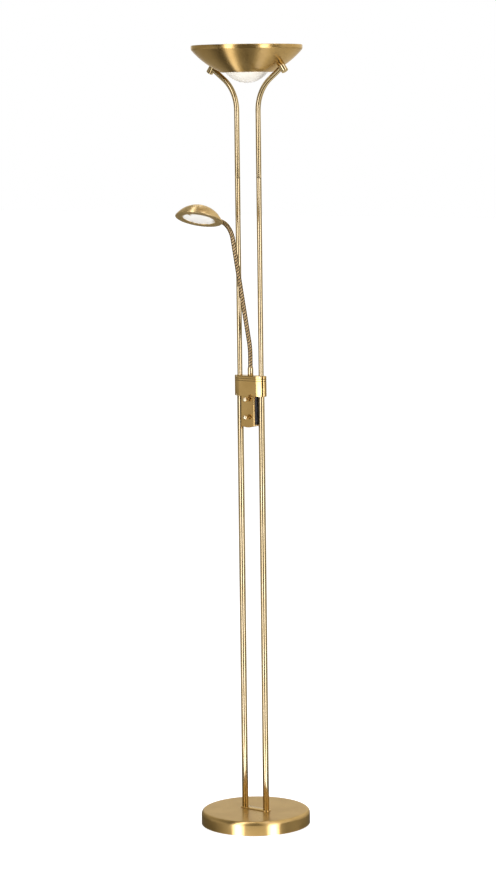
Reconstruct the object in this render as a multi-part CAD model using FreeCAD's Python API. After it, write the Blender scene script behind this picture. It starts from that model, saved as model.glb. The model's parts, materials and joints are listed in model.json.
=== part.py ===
import FreeCAD, Part
import math
import os

from FreeCAD import Placement, Rotation, Vector

# Torchiere floor lamp with a reading light on a gooseneck, all lengths in millimetres, angles in
# degrees. The origin is on the floor under the middle of the round base, +Z is up, the knobs face
# -Y and the two stems stand side by side along X.

# ---- driving dimensions: whole lamp ----
TOTAL_HEIGHT = 1800.0
STEM_SPACING = 61.5          # between the axes of the two stems
RUNNING_FIT = 0.05           # radial clearance of a spigot in its bore
SCREW_FIT = 0.2              # radial clearance of a stud in a plate

# base
BASE_RADIUS = 126.5
BASE_HEIGHT = 33.5
BASE_EDGE_RADIUS = 9.0
BASE_WALL = 1.2
BASE_LIFT = 1.5              # lower edge of the cover above the floor
PAD_THICKNESS = 2.0
PAD_RADIUS = 121.0
FLOOR_PLATE_THICKNESS = 1.5
WEIGHT_RECESS_RADIUS = 108.0
WEIGHT_RECESS_DEPTH = 9.0
GLAND_HEIGHT = 14.0          # axis of the cord gland above the floor
GLAND_RADIUS = 6.0
GLAND_FLANGE_RADIUS = 8.0
GLAND_FLANGE = 3.0
GLAND_BORE_RADIUS = 3.4
GLAND_LENGTH = 16.0

# stems
LOWER_TUBE_RADIUS = 7.25
LOWER_TUBE_WALL = 1.2
UPPER_TUBE_RADIUS = 6.0
UPPER_TUBE_WALL = 1.0
FOOT_PLATE_THICKNESS = 2.0
FOOT_PLATE_MARGIN = 3.25     # plate edge outside the tube
STUD_RADIUS = 5.0            # hollow M10 stud that holds a tube down
STUD_BORE_RADIUS = 3.2
STUD_PLUG_LENGTH = 18.0
WASHER_RADIUS = 12.0
WASHER_THICKNESS = 2.0
NUT_ACROSS_FLATS = 17.0
NUT_THICKNESS = 5.0

# collar
COLLAR_BOTTOM = 1003.0
COLLAR_HEIGHT = 47.0
COLLAR_RADIUS = 13.0
COLLAR_WALL = 2.2
COLLAR_PLATE = 4.0
GROOVE_DEPTH = 0.5
GROOVE_WIDTH = 1.0
GROOVE_DROPS = (6.4, 11.5)   # groove middles below the top of the collar
COUPLER_FLANGE = 4.0
COUPLER_SPIGOT = 15.0
COUPLER_BORE_RADIUS = 3.2
COUPLER_SPACE = 21.0         # lower face of the coupler flange above the collar's lower edge

# dimmer
HOUSING_GAP = 0.4            # beside each stem
HOUSING_DROP = 72.0          # lowest point below the collar
HOUSING_ARCH = 6.5           # rise of the arched bottom towards its sides
HOUSING_CORNER = 7.0
COVER_FRONT = 2.0
COVER_BOTTOM = 1.2
BODY_INSET = 0.3
BODY_WALL = 2.0
KNOB_DROPS = (6.8, 48.0)     # knob axes below the collar
POT_RADIUS = 8.5
POT_DEPTH = 9.0
POT_BUSH_RADIUS = 3.5
SPINDLE_RADIUS = 2.0
BOARD_THICKNESS = 1.6
BOARD_MARGIN = 1.5
KNOB_RADIUS = 5.6
KNOB_SHANK_RADIUS = 3.4
KNOB_SHANK_LENGTH = 6.2
KNOB_HEAD_LENGTH = 8.0
KNOB_GAP = 0.4
KNOB_BORE_DEPTH = 10.0
KNOB_DOME = 4.0              # height of the button's domed end
KNOB_EDGE = 0.6

# neck
FERRULE_RADIUS = 6.6
FERRULE_HEIGHT = 19.0
FERRULE_SOCKET = 6.0         # depth of the neck's seat in the ferrule
FERRULE_LIP = 0.4            # wall left at the ferrule's mouth
FERRULE_TAPER = 2.0
NIPPLE_RADIUS = 5.0
NIPPLE_BORE_RADIUS = 3.0
NIPPLE_NUT_ACROSS = 14.0
NIPPLE_NUT_THICKNESS = 4.0
NECK_CREST_RADIUS = 5.4
NECK_GROOVE_RADIUS = 4.85
NECK_BORE_RADIUS = 2.8
NECK_FOOT_LENGTH = 38.0      # stiff lower end of the neck
NECK_RISE = 32.0             # straight length before the first bend
NECK_LOWER_BEND = 150.0
NECK_LEAN = 13.2             # from upright, over the long straight run
NECK_RUN = 240.0
NECK_UPPER_BEND = 57.7
NECK_END_ANGLE = 99.0        # from upright, where the neck meets the head
NECK_LINKS = 8
RIBS_PER_LINK = 8
RIB_CREST = (0.16, 0.72)     # start and end of the crest, as shares of the rib's pitch
RIB_FALL = 0.88              # where the rib's far flank reaches the groove
NECK_JOINT_GAP = 1.15
BALL_RADIUS = 4.1
BALL_FIT = 0.15

# reading head
HEAD_RADIUS = 53.3
HEAD_DOME = 31.0
HEAD_WALL = 1.0
HEAD_TILT = 20.3             # the front edge is raised by this angle
HEAD_ROLL = -3.9
HEAD_INLET_HEIGHT = 8.0      # neck axis above the rim, at the dome's surface
SOCKET_LENGTH = 9.0
SOCKET_RADIUS = 6.6
HEAD_NIPPLE_RADIUS = 4.0
HEAD_NIPPLE_INSIDE = 6.5
HEAD_NUT_ACROSS = 11.0
HEAD_NUT_SHY = 0.5           # of the nipple's end
BEZEL_THICKNESS = 1.2
BEZEL_OPENING = 36.5
BEZEL_LIP = 4.0
BEZEL_LIP_WALL = 0.8
HEAD_GLASS_OVERLAP = 2.0
HEAD_GLASS_THICKNESS = 3.0
CLIP_WIDTH = 4.0
CLIP_THICKNESS = 0.6
CLIP_REACH = 5.0
CLIP_FOOT = 4.5
CLIP_COUNT = 3
READING_BULB_RADIUS = 6.0
READING_BULB_LENGTH = 38.0
HOLDER_RADIUS = 7.5
HOLDER_LENGTH = 18.0
HOLDER_CLEARANCE = 0.6
HOLDER_SHOULDER = 2.0        # the boss towards the nipple starts this much inside the holder
HOLDER_OVERLAP = 3.0

# arms and barrels
ARM_BEND_RADIUS = 88.0
BARREL_RADIUS = 8.0
BARREL_LENGTH = 25.0
BARREL_INSET = 25.5          # barrel middle inside the bowl's outer radius
BARREL_STUD_RADIUS = 3.0
BARREL_STUD_DEPTH = 14.0
BARREL_STUD_INSIDE = 9.5
ARM_END_GAP = 0.4

# bowl
BOWL_RADIUS = 126.5
BOWL_ARC = 195.0             # radius of the side's curve
BOWL_DEPTH = 61.0            # rim to flange
BOWL_FOOT_RADIUS = 58.4
BOWL_WALL = 1.2
BOWL_OPENING = 50.0
RIM_BEAD_RADIUS = 2.3
RIM_HEIGHT = 7.4             # upright part of the rim, with its bead
RIM_TURN_RADIUS = 6.0        # between the side's arc and the upright rim
DISH_RADIUS = 48.4
DISH_DROP = 24.0
DISH_WALL = 2.5
DISH_FLANGE_RADIUS = 55.0
DISH_FLANGE = 2.5
SEAT_RADIUS = 7.0
SEAT_THICKNESS = 2.0
BRACKET_THICKNESS = 1.5
BRACKET_WIDTH = 18.0
BRACKET_FOOT_UP = 9.0
BRACKET_FOOT_DOWN = 14.0
BOWL_NUT_ACROSS = 10.0
BOWL_NUT_THICKNESS = 4.0
LAMP_TUBE_RADIUS = 5.5
LAMP_TUBE_HALF = 52.0
LAMP_CAP_RADIUS = 3.6
LAMP_CAP_LENGTH = 7.0
LAMP_HOLDER_SIZE = (11.0, 16.0, 24.0)
LAMP_HOLDER_RECESS = 3.0
LAMP_AXIS_RISE = 14.0        # lamp axis above the bracket

X, Y, Z = Vector(1, 0, 0), Vector(0, 1, 0), Vector(0, 0, 1)
LEFT, RIGHT = -STEM_SPACING / 2, STEM_SPACING / 2
STEM_SIDES = (LEFT, RIGHT)


def save(name, *solids):
    """Writes one node; several solids in one node lie apart."""
    shape = solids[0] if len(solids) == 1 else Part.makeCompound(list(solids))
    for solid in shape.Solids:
        if not solid.isValid():
            raise ValueError("invalid solid in " + name)
    shape.exportStep("parts/" + name + ".step")
    return shape


def cylinder(radius, base, length, axis=Z):
    return Part.makeCylinder(radius, length, base, axis)


def ring(outer, inner, base, length, axis=Z):
    return cylinder(outer, base, length, axis).cut(cylinder(inner, base, length, axis))


def box(low, high):
    return Part.makeBox(high[0] - low[0], high[1] - low[1], high[2] - low[2], Vector(*low))


def revolved(edges):
    """Turns a closed profile of edges in the XZ plane round the Z axis."""
    face = Part.Face(Part.Wire(edges))
    return Part.makeSolid(face.revolve(Vector(0, 0, 0), Z, 360))


def lathe(points):
    """Turns a polygon of (radius, height) points round the Z axis."""
    corners = [Vector(r, 0, z) for r, z in points]
    return Part.makeSolid(
        Part.Face(Part.makePolygon(corners + corners[:1])).revolve(Vector(0, 0, 0), Z, 360))


def line(a, b):
    return Part.LineSegment(Vector(a[0], 0, a[1]), Vector(b[0], 0, b[1])).toShape()


def arc(a, middle, b):
    return Part.Arc(Vector(a[0], 0, a[1]), Vector(middle[0], 0, middle[1]),
                    Vector(b[0], 0, b[1])).toShape()


def cap_arc(radius, low, top):
    """Arc from (radius, low) to the axis at top, with its centre on the axis."""
    rise = top - low
    sphere = (radius ** 2 + rise ** 2) / (2 * rise)
    half = math.atan2(radius, sphere - rise) / 2
    middle = (sphere * math.sin(half), top - sphere + sphere * math.cos(half))
    return arc((radius, low), middle, (0, top))


def stadium(half_length, radius, bottom, height):
    """An upright block with flat front and back and round ends."""
    middle = box((-half_length, -radius, bottom), (half_length, radius, bottom + height))
    for side in (-half_length, half_length):
        middle = middle.fuse(cylinder(radius, Vector(side, 0, bottom), height))
    return middle.removeSplitter()


def hexagon(across_flats, base, height, axis=Z, bore=0.0):
    """A nut with its hole, standing on base along axis."""
    corner = across_flats / math.sqrt(3)
    points = [Vector(corner * math.cos(math.radians(60 * i)),
                     corner * math.sin(math.radians(60 * i)), 0) for i in range(7)]
    nut = Part.Face(Part.makePolygon(points)).extrude(Vector(0, 0, height))
    nut.Placement = Placement(base, Rotation(Z, axis))
    return nut.cut(cylinder(bore, base, height, axis)) if bore else nut


def at_stems(make):
    return [make(side) for side in STEM_SIDES]


# ---- base ----
BASE_INNER = BASE_RADIUS - BASE_WALL
COVER_UNDERSIDE = BASE_HEIGHT - BASE_WALL
FLOOR_PLATE_TOP = PAD_THICKNESS + FLOOR_PLATE_THICKNESS
RECESS_TOP = FLOOR_PLATE_TOP + WEIGHT_RECESS_DEPTH
PLATE_TOP = BASE_HEIGHT + FOOT_PLATE_THICKNESS


def base_solid(radius, bottom, top, edge):
    """A disc with a rounded top edge."""
    half = edge * math.cos(math.radians(45))
    middle = (radius - edge + half, top - edge + half)
    return revolved([
        line((0, bottom), (radius, bottom)),
        line((radius, bottom), (radius, top - edge)),
        arc((radius, top - edge), middle, (radius - edge, top)),
        line((radius - edge, top), (0, top)),
        line((0, top), (0, bottom))])


def stem_holes(bottom, height, radius=STUD_RADIUS + SCREW_FIT):
    left, right = at_stems(lambda side: cylinder(radius, Vector(side, 0, bottom), height))
    return left.fuse(right)


def make_base():
    gland_seat = Vector(0, BASE_INNER - GLAND_LENGTH, GLAND_HEIGHT)
    gland_hole = cylinder(GLAND_RADIUS, gland_seat, 2 * GLAND_LENGTH, Y)
    cover = base_solid(BASE_RADIUS, BASE_LIFT, BASE_HEIGHT, BASE_EDGE_RADIUS)
    inside = base_solid(BASE_INNER, 0, COVER_UNDERSIDE, BASE_EDGE_RADIUS - BASE_WALL)
    holes = stem_holes(0, BASE_HEIGHT)
    save("base_cover", cover.cut(inside).cut(holes).cut(gland_hole))

    weight_radius = BASE_INNER - SCREW_FIT
    weight = base_solid(weight_radius, FLOOR_PLATE_TOP, COVER_UNDERSIDE, BASE_EDGE_RADIUS)
    recess = cylinder(WEIGHT_RECESS_RADIUS, Vector(0, 0, FLOOR_PLATE_TOP), WEIGHT_RECESS_DEPTH)
    cord_way = box((-GLAND_FLANGE_RADIUS, WEIGHT_RECESS_RADIUS / 2, FLOOR_PLATE_TOP),
                   (GLAND_FLANGE_RADIUS, BASE_RADIUS, GLAND_HEIGHT + GLAND_FLANGE_RADIUS))
    save("base_weight", weight.cut(recess).cut(cord_way).cut(holes))

    save("floor_plate", cylinder(weight_radius, Vector(0, 0, PAD_THICKNESS),
                                 FLOOR_PLATE_THICKNESS))
    save("base_pad", cylinder(PAD_RADIUS, Vector(0, 0, 0), PAD_THICKNESS))

    # The gland's flange seats on the round side of the cover, so it is cut to that curve.
    gland = cylinder(GLAND_RADIUS, gland_seat, GLAND_LENGTH + BASE_WALL, Y)
    flange = cylinder(GLAND_FLANGE_RADIUS, Vector(0, BASE_INNER, GLAND_HEIGHT),
                      BASE_WALL + GLAND_FLANGE, Y)
    flange = flange.cut(cylinder(BASE_RADIUS, Vector(0, 0, 0), BASE_HEIGHT))
    bore = cylinder(GLAND_BORE_RADIUS, gland_seat, 2 * GLAND_LENGTH, Y)
    save("cord_gland", gland.fuse(flange).cut(bore).removeSplitter())


# ---- stems from the base to the collar ----
LOWER_BORE = LOWER_TUBE_RADIUS - LOWER_TUBE_WALL
UPPER_BORE = UPPER_TUBE_RADIUS - UPPER_TUBE_WALL
COUPLER_BOTTOM = COLLAR_BOTTOM + COUPLER_SPACE
COUPLER_TOP = COUPLER_BOTTOM + COUPLER_FLANGE


def make_lower_stems():
    plate = stadium(RIGHT, LOWER_TUBE_RADIUS + FOOT_PLATE_MARGIN, BASE_HEIGHT,
                    FOOT_PLATE_THICKNESS)
    save("foot_plate", plate.cut(stem_holes(BASE_HEIGHT, FOOT_PLATE_THICKNESS)))

    for name, side in (("lower_tube_left", LEFT), ("lower_tube_right", RIGHT)):
        save(name, ring(LOWER_TUBE_RADIUS, LOWER_BORE, Vector(side, 0, PLATE_TOP),
                        COUPLER_BOTTOM - PLATE_TOP))

    nut_bottom = RECESS_TOP - WASHER_THICKNESS - NUT_THICKNESS
    plug = LOWER_BORE - RUNNING_FIT

    def stud(side):
        turned = lathe([(STUD_BORE_RADIUS, nut_bottom), (STUD_RADIUS, nut_bottom),
                        (STUD_RADIUS, PLATE_TOP), (plug, PLATE_TOP),
                        (plug, PLATE_TOP + STUD_PLUG_LENGTH),
                        (STUD_BORE_RADIUS, PLATE_TOP + STUD_PLUG_LENGTH)])
        turned.translate(Vector(side, 0, 0))
        return turned

    save("tube_studs", *at_stems(stud))
    save("tube_washers", *at_stems(lambda side: ring(
        WASHER_RADIUS, STUD_RADIUS + SCREW_FIT,
        Vector(side, 0, RECESS_TOP - WASHER_THICKNESS), WASHER_THICKNESS)))
    save("tube_nuts", *at_stems(lambda side: hexagon(
        NUT_ACROSS_FLATS, Vector(side, 0, nut_bottom), NUT_THICKNESS, Z, STUD_RADIUS)))

    def coupler(side):
        lower, upper = LOWER_BORE - RUNNING_FIT, UPPER_BORE - RUNNING_FIT
        turned = lathe([(COUPLER_BORE_RADIUS, COUPLER_BOTTOM - COUPLER_SPIGOT),
                        (lower, COUPLER_BOTTOM - COUPLER_SPIGOT), (lower, COUPLER_BOTTOM),
                        (LOWER_TUBE_RADIUS, COUPLER_BOTTOM), (LOWER_TUBE_RADIUS, COUPLER_TOP),
                        (upper, COUPLER_TOP), (upper, COUPLER_TOP + COUPLER_SPIGOT),
                        (COUPLER_BORE_RADIUS, COUPLER_TOP + COUPLER_SPIGOT)])
        turned.translate(Vector(side, 0, 0))
        return turned

    save("tube_couplers", *at_stems(coupler))


# ---- collar ----
COLLAR_TOP = COLLAR_BOTTOM + COLLAR_HEIGHT


def make_collar():
    inner = COLLAR_RADIUS - COLLAR_WALL
    sleeve = stadium(RIGHT, COLLAR_RADIUS, COLLAR_BOTTOM, COLLAR_HEIGHT)
    sleeve = sleeve.cut(stadium(RIGHT, inner, COLLAR_BOTTOM, COLLAR_HEIGHT))
    for drop in GROOVE_DROPS:
        bottom = COLLAR_TOP - drop - GROOVE_WIDTH / 2
        band = stadium(RIGHT, COLLAR_RADIUS + GROOVE_WIDTH, bottom, GROOVE_WIDTH)
        sleeve = sleeve.cut(band.cut(stadium(RIGHT, COLLAR_RADIUS - GROOVE_DEPTH, bottom,
                                             GROOVE_WIDTH)))
    save("collar_sleeve", sleeve)

    for name, bottom, tube, middle in (
            ("collar_bottom_plate", COLLAR_BOTTOM, LOWER_TUBE_RADIUS, STUD_BORE_RADIUS),
            ("collar_top_plate", COLLAR_TOP - COLLAR_PLATE, UPPER_TUBE_RADIUS,
             NIPPLE_RADIUS + RUNNING_FIT)):
        plate = stadium(RIGHT, inner - RUNNING_FIT, bottom, COLLAR_PLATE)
        holes = stem_holes(bottom, COLLAR_PLATE, tube + RUNNING_FIT)
        save(name, plate.cut(holes).cut(cylinder(middle, Vector(0, 0, bottom), COLLAR_PLATE)))


# ---- dimmer under the collar ----
HOUSING_HALF = RIGHT - LOWER_TUBE_RADIUS - HOUSING_GAP
FRONT = -COLLAR_RADIUS       # the housing's face is flush with the collar's
COVER_BACK = FRONT + COVER_FRONT
KNOB_HEIGHTS = tuple(COLLAR_BOTTOM - drop for drop in KNOB_DROPS)
BODY_FRONT_INSIDE = COVER_BACK + BODY_WALL


def housing_block(inset, bottom_inset, front, back):
    """The housing's outline with its round corners and arched bottom, between two depths."""
    half = HOUSING_HALF - inset
    low = COLLAR_BOTTOM - HOUSING_DROP + bottom_inset
    high = low + HOUSING_ARCH
    block = box((-half, FRONT, low - HOUSING_ARCH), (half, -FRONT, COLLAR_BOTTOM))
    upright = [edge for edge in block.Edges
               if abs(edge.BoundBox.XLength) + abs(edge.BoundBox.YLength) < 1e-6]
    block = block.makeFillet(HOUSING_CORNER - inset, upright)
    sector = Part.Face(Part.Wire([
        arc((-half, high), (0, low), (half, high)), line((half, high), (half, COLLAR_BOTTOM)),
        line((half, COLLAR_BOTTOM), (-half, COLLAR_BOTTOM)),
        line((-half, COLLAR_BOTTOM), (-half, high))]))
    sector.translate(Vector(0, front, 0))
    return block.common(sector.extrude(Vector(0, back - front, 0)))


def make_dimmer():
    bush_holes = [cylinder(POT_BUSH_RADIUS + RUNNING_FIT, Vector(0, FRONT, z),
                           BODY_FRONT_INSIDE - FRONT, Y) for z in KNOB_HEIGHTS]
    bush_holes = bush_holes[0].fuse(bush_holes[1])

    cover = housing_block(0, 0, FRONT, -FRONT)
    space = housing_block(0, COVER_BOTTOM, COVER_BACK, -FRONT)
    save("dimmer_cover", cover.cut(space).cut(bush_holes))

    body = housing_block(BODY_INSET, COVER_BOTTOM, COVER_BACK, -FRONT)
    hollow_low = COLLAR_BOTTOM - HOUSING_DROP + HOUSING_ARCH + COVER_BOTTOM + BODY_WALL
    hollow_half = HOUSING_HALF - BODY_INSET - BODY_WALL
    hollow_back = -FRONT - BODY_WALL
    hollow = box((-hollow_half, BODY_FRONT_INSIDE, hollow_low),
                 (hollow_half, hollow_back, COLLAR_BOTTOM))
    upright = [edge for edge in hollow.Edges
               if abs(edge.BoundBox.XLength) + abs(edge.BoundBox.YLength) < 1e-6]
    hollow = hollow.makeFillet(HOUSING_CORNER - BODY_INSET - BODY_WALL, upright)
    save("dimmer_body", body.cut(hollow).cut(bush_holes))

    board_front = BODY_FRONT_INSIDE + POT_DEPTH
    board_half = hollow_half - BOARD_MARGIN
    board_low = hollow_low + BOARD_MARGIN
    save("dimmer_board", box((-board_half, board_front, board_low),
                             (board_half, board_front + BOARD_THICKNESS,
                              COLLAR_BOTTOM - BOARD_MARGIN)))

    def potentiometer(z):
        # The upper body is cut flat beside the collar's bottom plate.
        can = cylinder(POT_RADIUS, Vector(0, BODY_FRONT_INSIDE, z), POT_DEPTH, Y)
        can = can.common(box((-POT_RADIUS, FRONT, z - POT_RADIUS),
                             (POT_RADIUS, -FRONT, COLLAR_BOTTOM - SCREW_FIT)))
        bush = cylinder(POT_BUSH_RADIUS, Vector(0, FRONT, z), BODY_FRONT_INSIDE - FRONT, Y)
        bore = cylinder(SPINDLE_RADIUS + RUNNING_FIT, Vector(0, FRONT, z),
                        BODY_FRONT_INSIDE + POT_DEPTH / 2 - FRONT, Y)
        return can.fuse(bush).cut(bore).removeSplitter()

    save("potentiometers", *[potentiometer(z) for z in KNOB_HEIGHTS])


def make_knobs():
    """Each knob is a turned brass button on a shank, pressed on the spindle it turns."""
    back = KNOB_GAP
    head_start = back + KNOB_SHANK_LENGTH
    tip = head_start + KNOB_HEAD_LENGTH
    dome_start = tip - KNOB_DOME
    for name, z in zip(("upper", "lower"), KNOB_HEIGHTS):
        seat = Placement(Vector(0, FRONT, z), Rotation(X, 90))
        knob = revolved([
            line((0, back), (KNOB_SHANK_RADIUS, back)),
            line((KNOB_SHANK_RADIUS, back), (KNOB_SHANK_RADIUS, head_start)),
            line((KNOB_SHANK_RADIUS, head_start), (KNOB_RADIUS - KNOB_EDGE, head_start)),
            line((KNOB_RADIUS - KNOB_EDGE, head_start), (KNOB_RADIUS, head_start + KNOB_EDGE)),
            line((KNOB_RADIUS, head_start + KNOB_EDGE), (KNOB_RADIUS, dome_start)),
            cap_arc(KNOB_RADIUS, dome_start, tip),
            line((0, tip), (0, back))])
        knob = knob.cut(cylinder(SPINDLE_RADIUS, Vector(0, 0, 0), KNOB_BORE_DEPTH))
        knob.Placement = seat
        save("knob_" + name, knob)
        inside = BODY_FRONT_INSIDE + POT_DEPTH / 2 - FRONT - RUNNING_FIT
        spindle = cylinder(SPINDLE_RADIUS, Vector(0, 0, -inside), inside + KNOB_BORE_DEPTH)
        spindle.Placement = seat
        save("spindle_" + name, spindle)


# ---- gooseneck ----
NECK_SEAT = COLLAR_TOP + FERRULE_HEIGHT - FERRULE_SOCKET
LOWER_BEND_LENGTH = NECK_LOWER_BEND * math.radians(NECK_LEAN)
UPPER_BEND_LENGTH = NECK_UPPER_BEND * math.radians(NECK_END_ANGLE - NECK_LEAN)
NECK_LENGTH = NECK_RISE + LOWER_BEND_LENGTH + NECK_RUN + UPPER_BEND_LENGTH
LINK_LENGTH = (NECK_LENGTH - NECK_FOOT_LENGTH) / NECK_LINKS


def neck_point(length):
    """Place and direction of the neck's axis, in the YZ plane: upright, a wide bend, a long
    leaning run and the tighter bend over to the head."""
    y, z, angle = 0.0, NECK_SEAT, 0.0
    for run, radius, turn in ((NECK_RISE, 0, 0), (LOWER_BEND_LENGTH, NECK_LOWER_BEND, NECK_LEAN),
                              (NECK_RUN, 0, 0),
                              (UPPER_BEND_LENGTH, NECK_UPPER_BEND, NECK_END_ANGLE - NECK_LEAN)):
        part = min(length, run)
        if radius:
            start, end = math.radians(angle), math.radians(angle + turn * part / run)
            y -= radius * (math.cos(start) - math.cos(end))
            z += radius * (math.sin(end) - math.sin(start))
            angle += turn * part / run
        else:
            y -= part * math.sin(math.radians(angle))
            z += part * math.cos(math.radians(angle))
        length -= part
    heading = math.radians(angle)
    return Vector(0, y, z), Vector(0, -math.sin(heading), math.cos(heading))


def neck_circle(length, radius):
    centre, heading = neck_point(length)
    circle = Part.Circle()
    circle.Radius = radius
    edge = circle.toShape()
    edge.Placement = Placement(centre, Rotation(X, heading.cross(X), heading, "ZXY"))
    return Part.Wire([edge])


def ribbed_length(start, end, ribs):
    """A length of the hose: each rib has a rising flank, a crest and a falling flank."""
    pitch = (end - start) / ribs
    circles = []
    for rib in range(ribs):
        foot = start + rib * pitch
        circles.append(neck_circle(foot, NECK_GROOVE_RADIUS))
        for share in RIB_CREST:
            circles.append(neck_circle(foot + share * pitch, NECK_CREST_RADIUS))
        circles.append(neck_circle(foot + RIB_FALL * pitch, NECK_GROOVE_RADIUS))
    circles.append(neck_circle(end, NECK_GROOVE_RADIUS))
    return Part.makeLoft(circles, True, True)


def neck_bore(start, end, steps):
    """The bore runs a little past both ends."""
    circles = [neck_circle(start + (end - start) * i / steps, NECK_BORE_RADIUS)
               for i in range(steps + 1)]
    bore = Part.makeLoft(circles, True, True)
    for length, way in ((start, -1), (end, 1)):
        centre, heading = neck_point(length)
        bore = bore.fuse(cylinder(NECK_BORE_RADIUS, centre, BALL_RADIUS * 2, heading * way))
    return bore


def joint_length(number):
    return NECK_FOOT_LENGTH + (number - 1) * LINK_LENGTH


def make_neck():
    """A stiff foot and eight curved links. Each lower link ends in a hollow ball that sits in
    the cup of the next, so that the joint stays closed when it turns."""
    half_gap = NECK_JOINT_GAP / 2
    for number in range(NECK_LINKS + 1):
        start = 0.0 if number == 0 else joint_length(number) + half_gap
        end = NECK_LENGTH if number == NECK_LINKS else joint_length(number + 1) - half_gap
        link = ribbed_length(start, end, RIBS_PER_LINK)
        if number < NECK_LINKS:
            centre = neck_point(joint_length(number + 1))[0]
            link = link.fuse(Part.makeSphere(BALL_RADIUS, centre))
        link = link.cut(neck_bore(start, end, RIBS_PER_LINK // 2))
        if number > 0:
            centre = neck_point(joint_length(number))[0]
            link = link.cut(Part.makeSphere(BALL_RADIUS + BALL_FIT, centre))
        save("neck_foot" if number == 0 else "neck_link_%d" % number, link)

    neck_fit = NECK_CREST_RADIUS + RUNNING_FIT
    nipple_top = COLLAR_TOP + FERRULE_HEIGHT / 2
    ferrule = lathe([(NIPPLE_RADIUS, COLLAR_TOP), (FERRULE_RADIUS, COLLAR_TOP),
                     (FERRULE_RADIUS, COLLAR_TOP + FERRULE_HEIGHT - FERRULE_TAPER),
                     (neck_fit + FERRULE_LIP, COLLAR_TOP + FERRULE_HEIGHT),
                     (neck_fit, COLLAR_TOP + FERRULE_HEIGHT), (neck_fit, NECK_SEAT),
                     (NIPPLE_BORE_RADIUS, NECK_SEAT), (NIPPLE_BORE_RADIUS, nipple_top),
                     (NIPPLE_RADIUS, nipple_top)])
    save("neck_ferrule", ferrule)
    nut_bottom = COLLAR_TOP - COLLAR_PLATE - NIPPLE_NUT_THICKNESS
    save("neck_nipple", ring(NIPPLE_RADIUS, NIPPLE_BORE_RADIUS, Vector(0, 0, nut_bottom),
                             nipple_top - nut_bottom))
    save("neck_nut", hexagon(NIPPLE_NUT_ACROSS, Vector(0, 0, nut_bottom), NIPPLE_NUT_THICKNESS,
                             Z, NIPPLE_RADIUS))


# ---- reading head, modelled on its own axis with the rim at z = 0 and the neck at +Y ----
HEAD_SPHERE = (HEAD_RADIUS ** 2 + HEAD_DOME ** 2) / (2 * HEAD_DOME)
HEAD_SPHERE_DROP = HEAD_SPHERE - HEAD_DOME
INLET_OUT = math.sqrt(HEAD_SPHERE ** 2 - (HEAD_SPHERE_DROP + HEAD_INLET_HEIGHT) ** 2)


def dome(radius):
    """The part of a sphere on the dome's centre that lies above the rim."""
    low = math.sqrt(radius ** 2 - HEAD_SPHERE_DROP ** 2)
    top = radius - HEAD_SPHERE_DROP
    return revolved([line((0, 0), (low, 0)), cap_arc(low, 0, top), line((0, top), (0, 0))])


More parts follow.
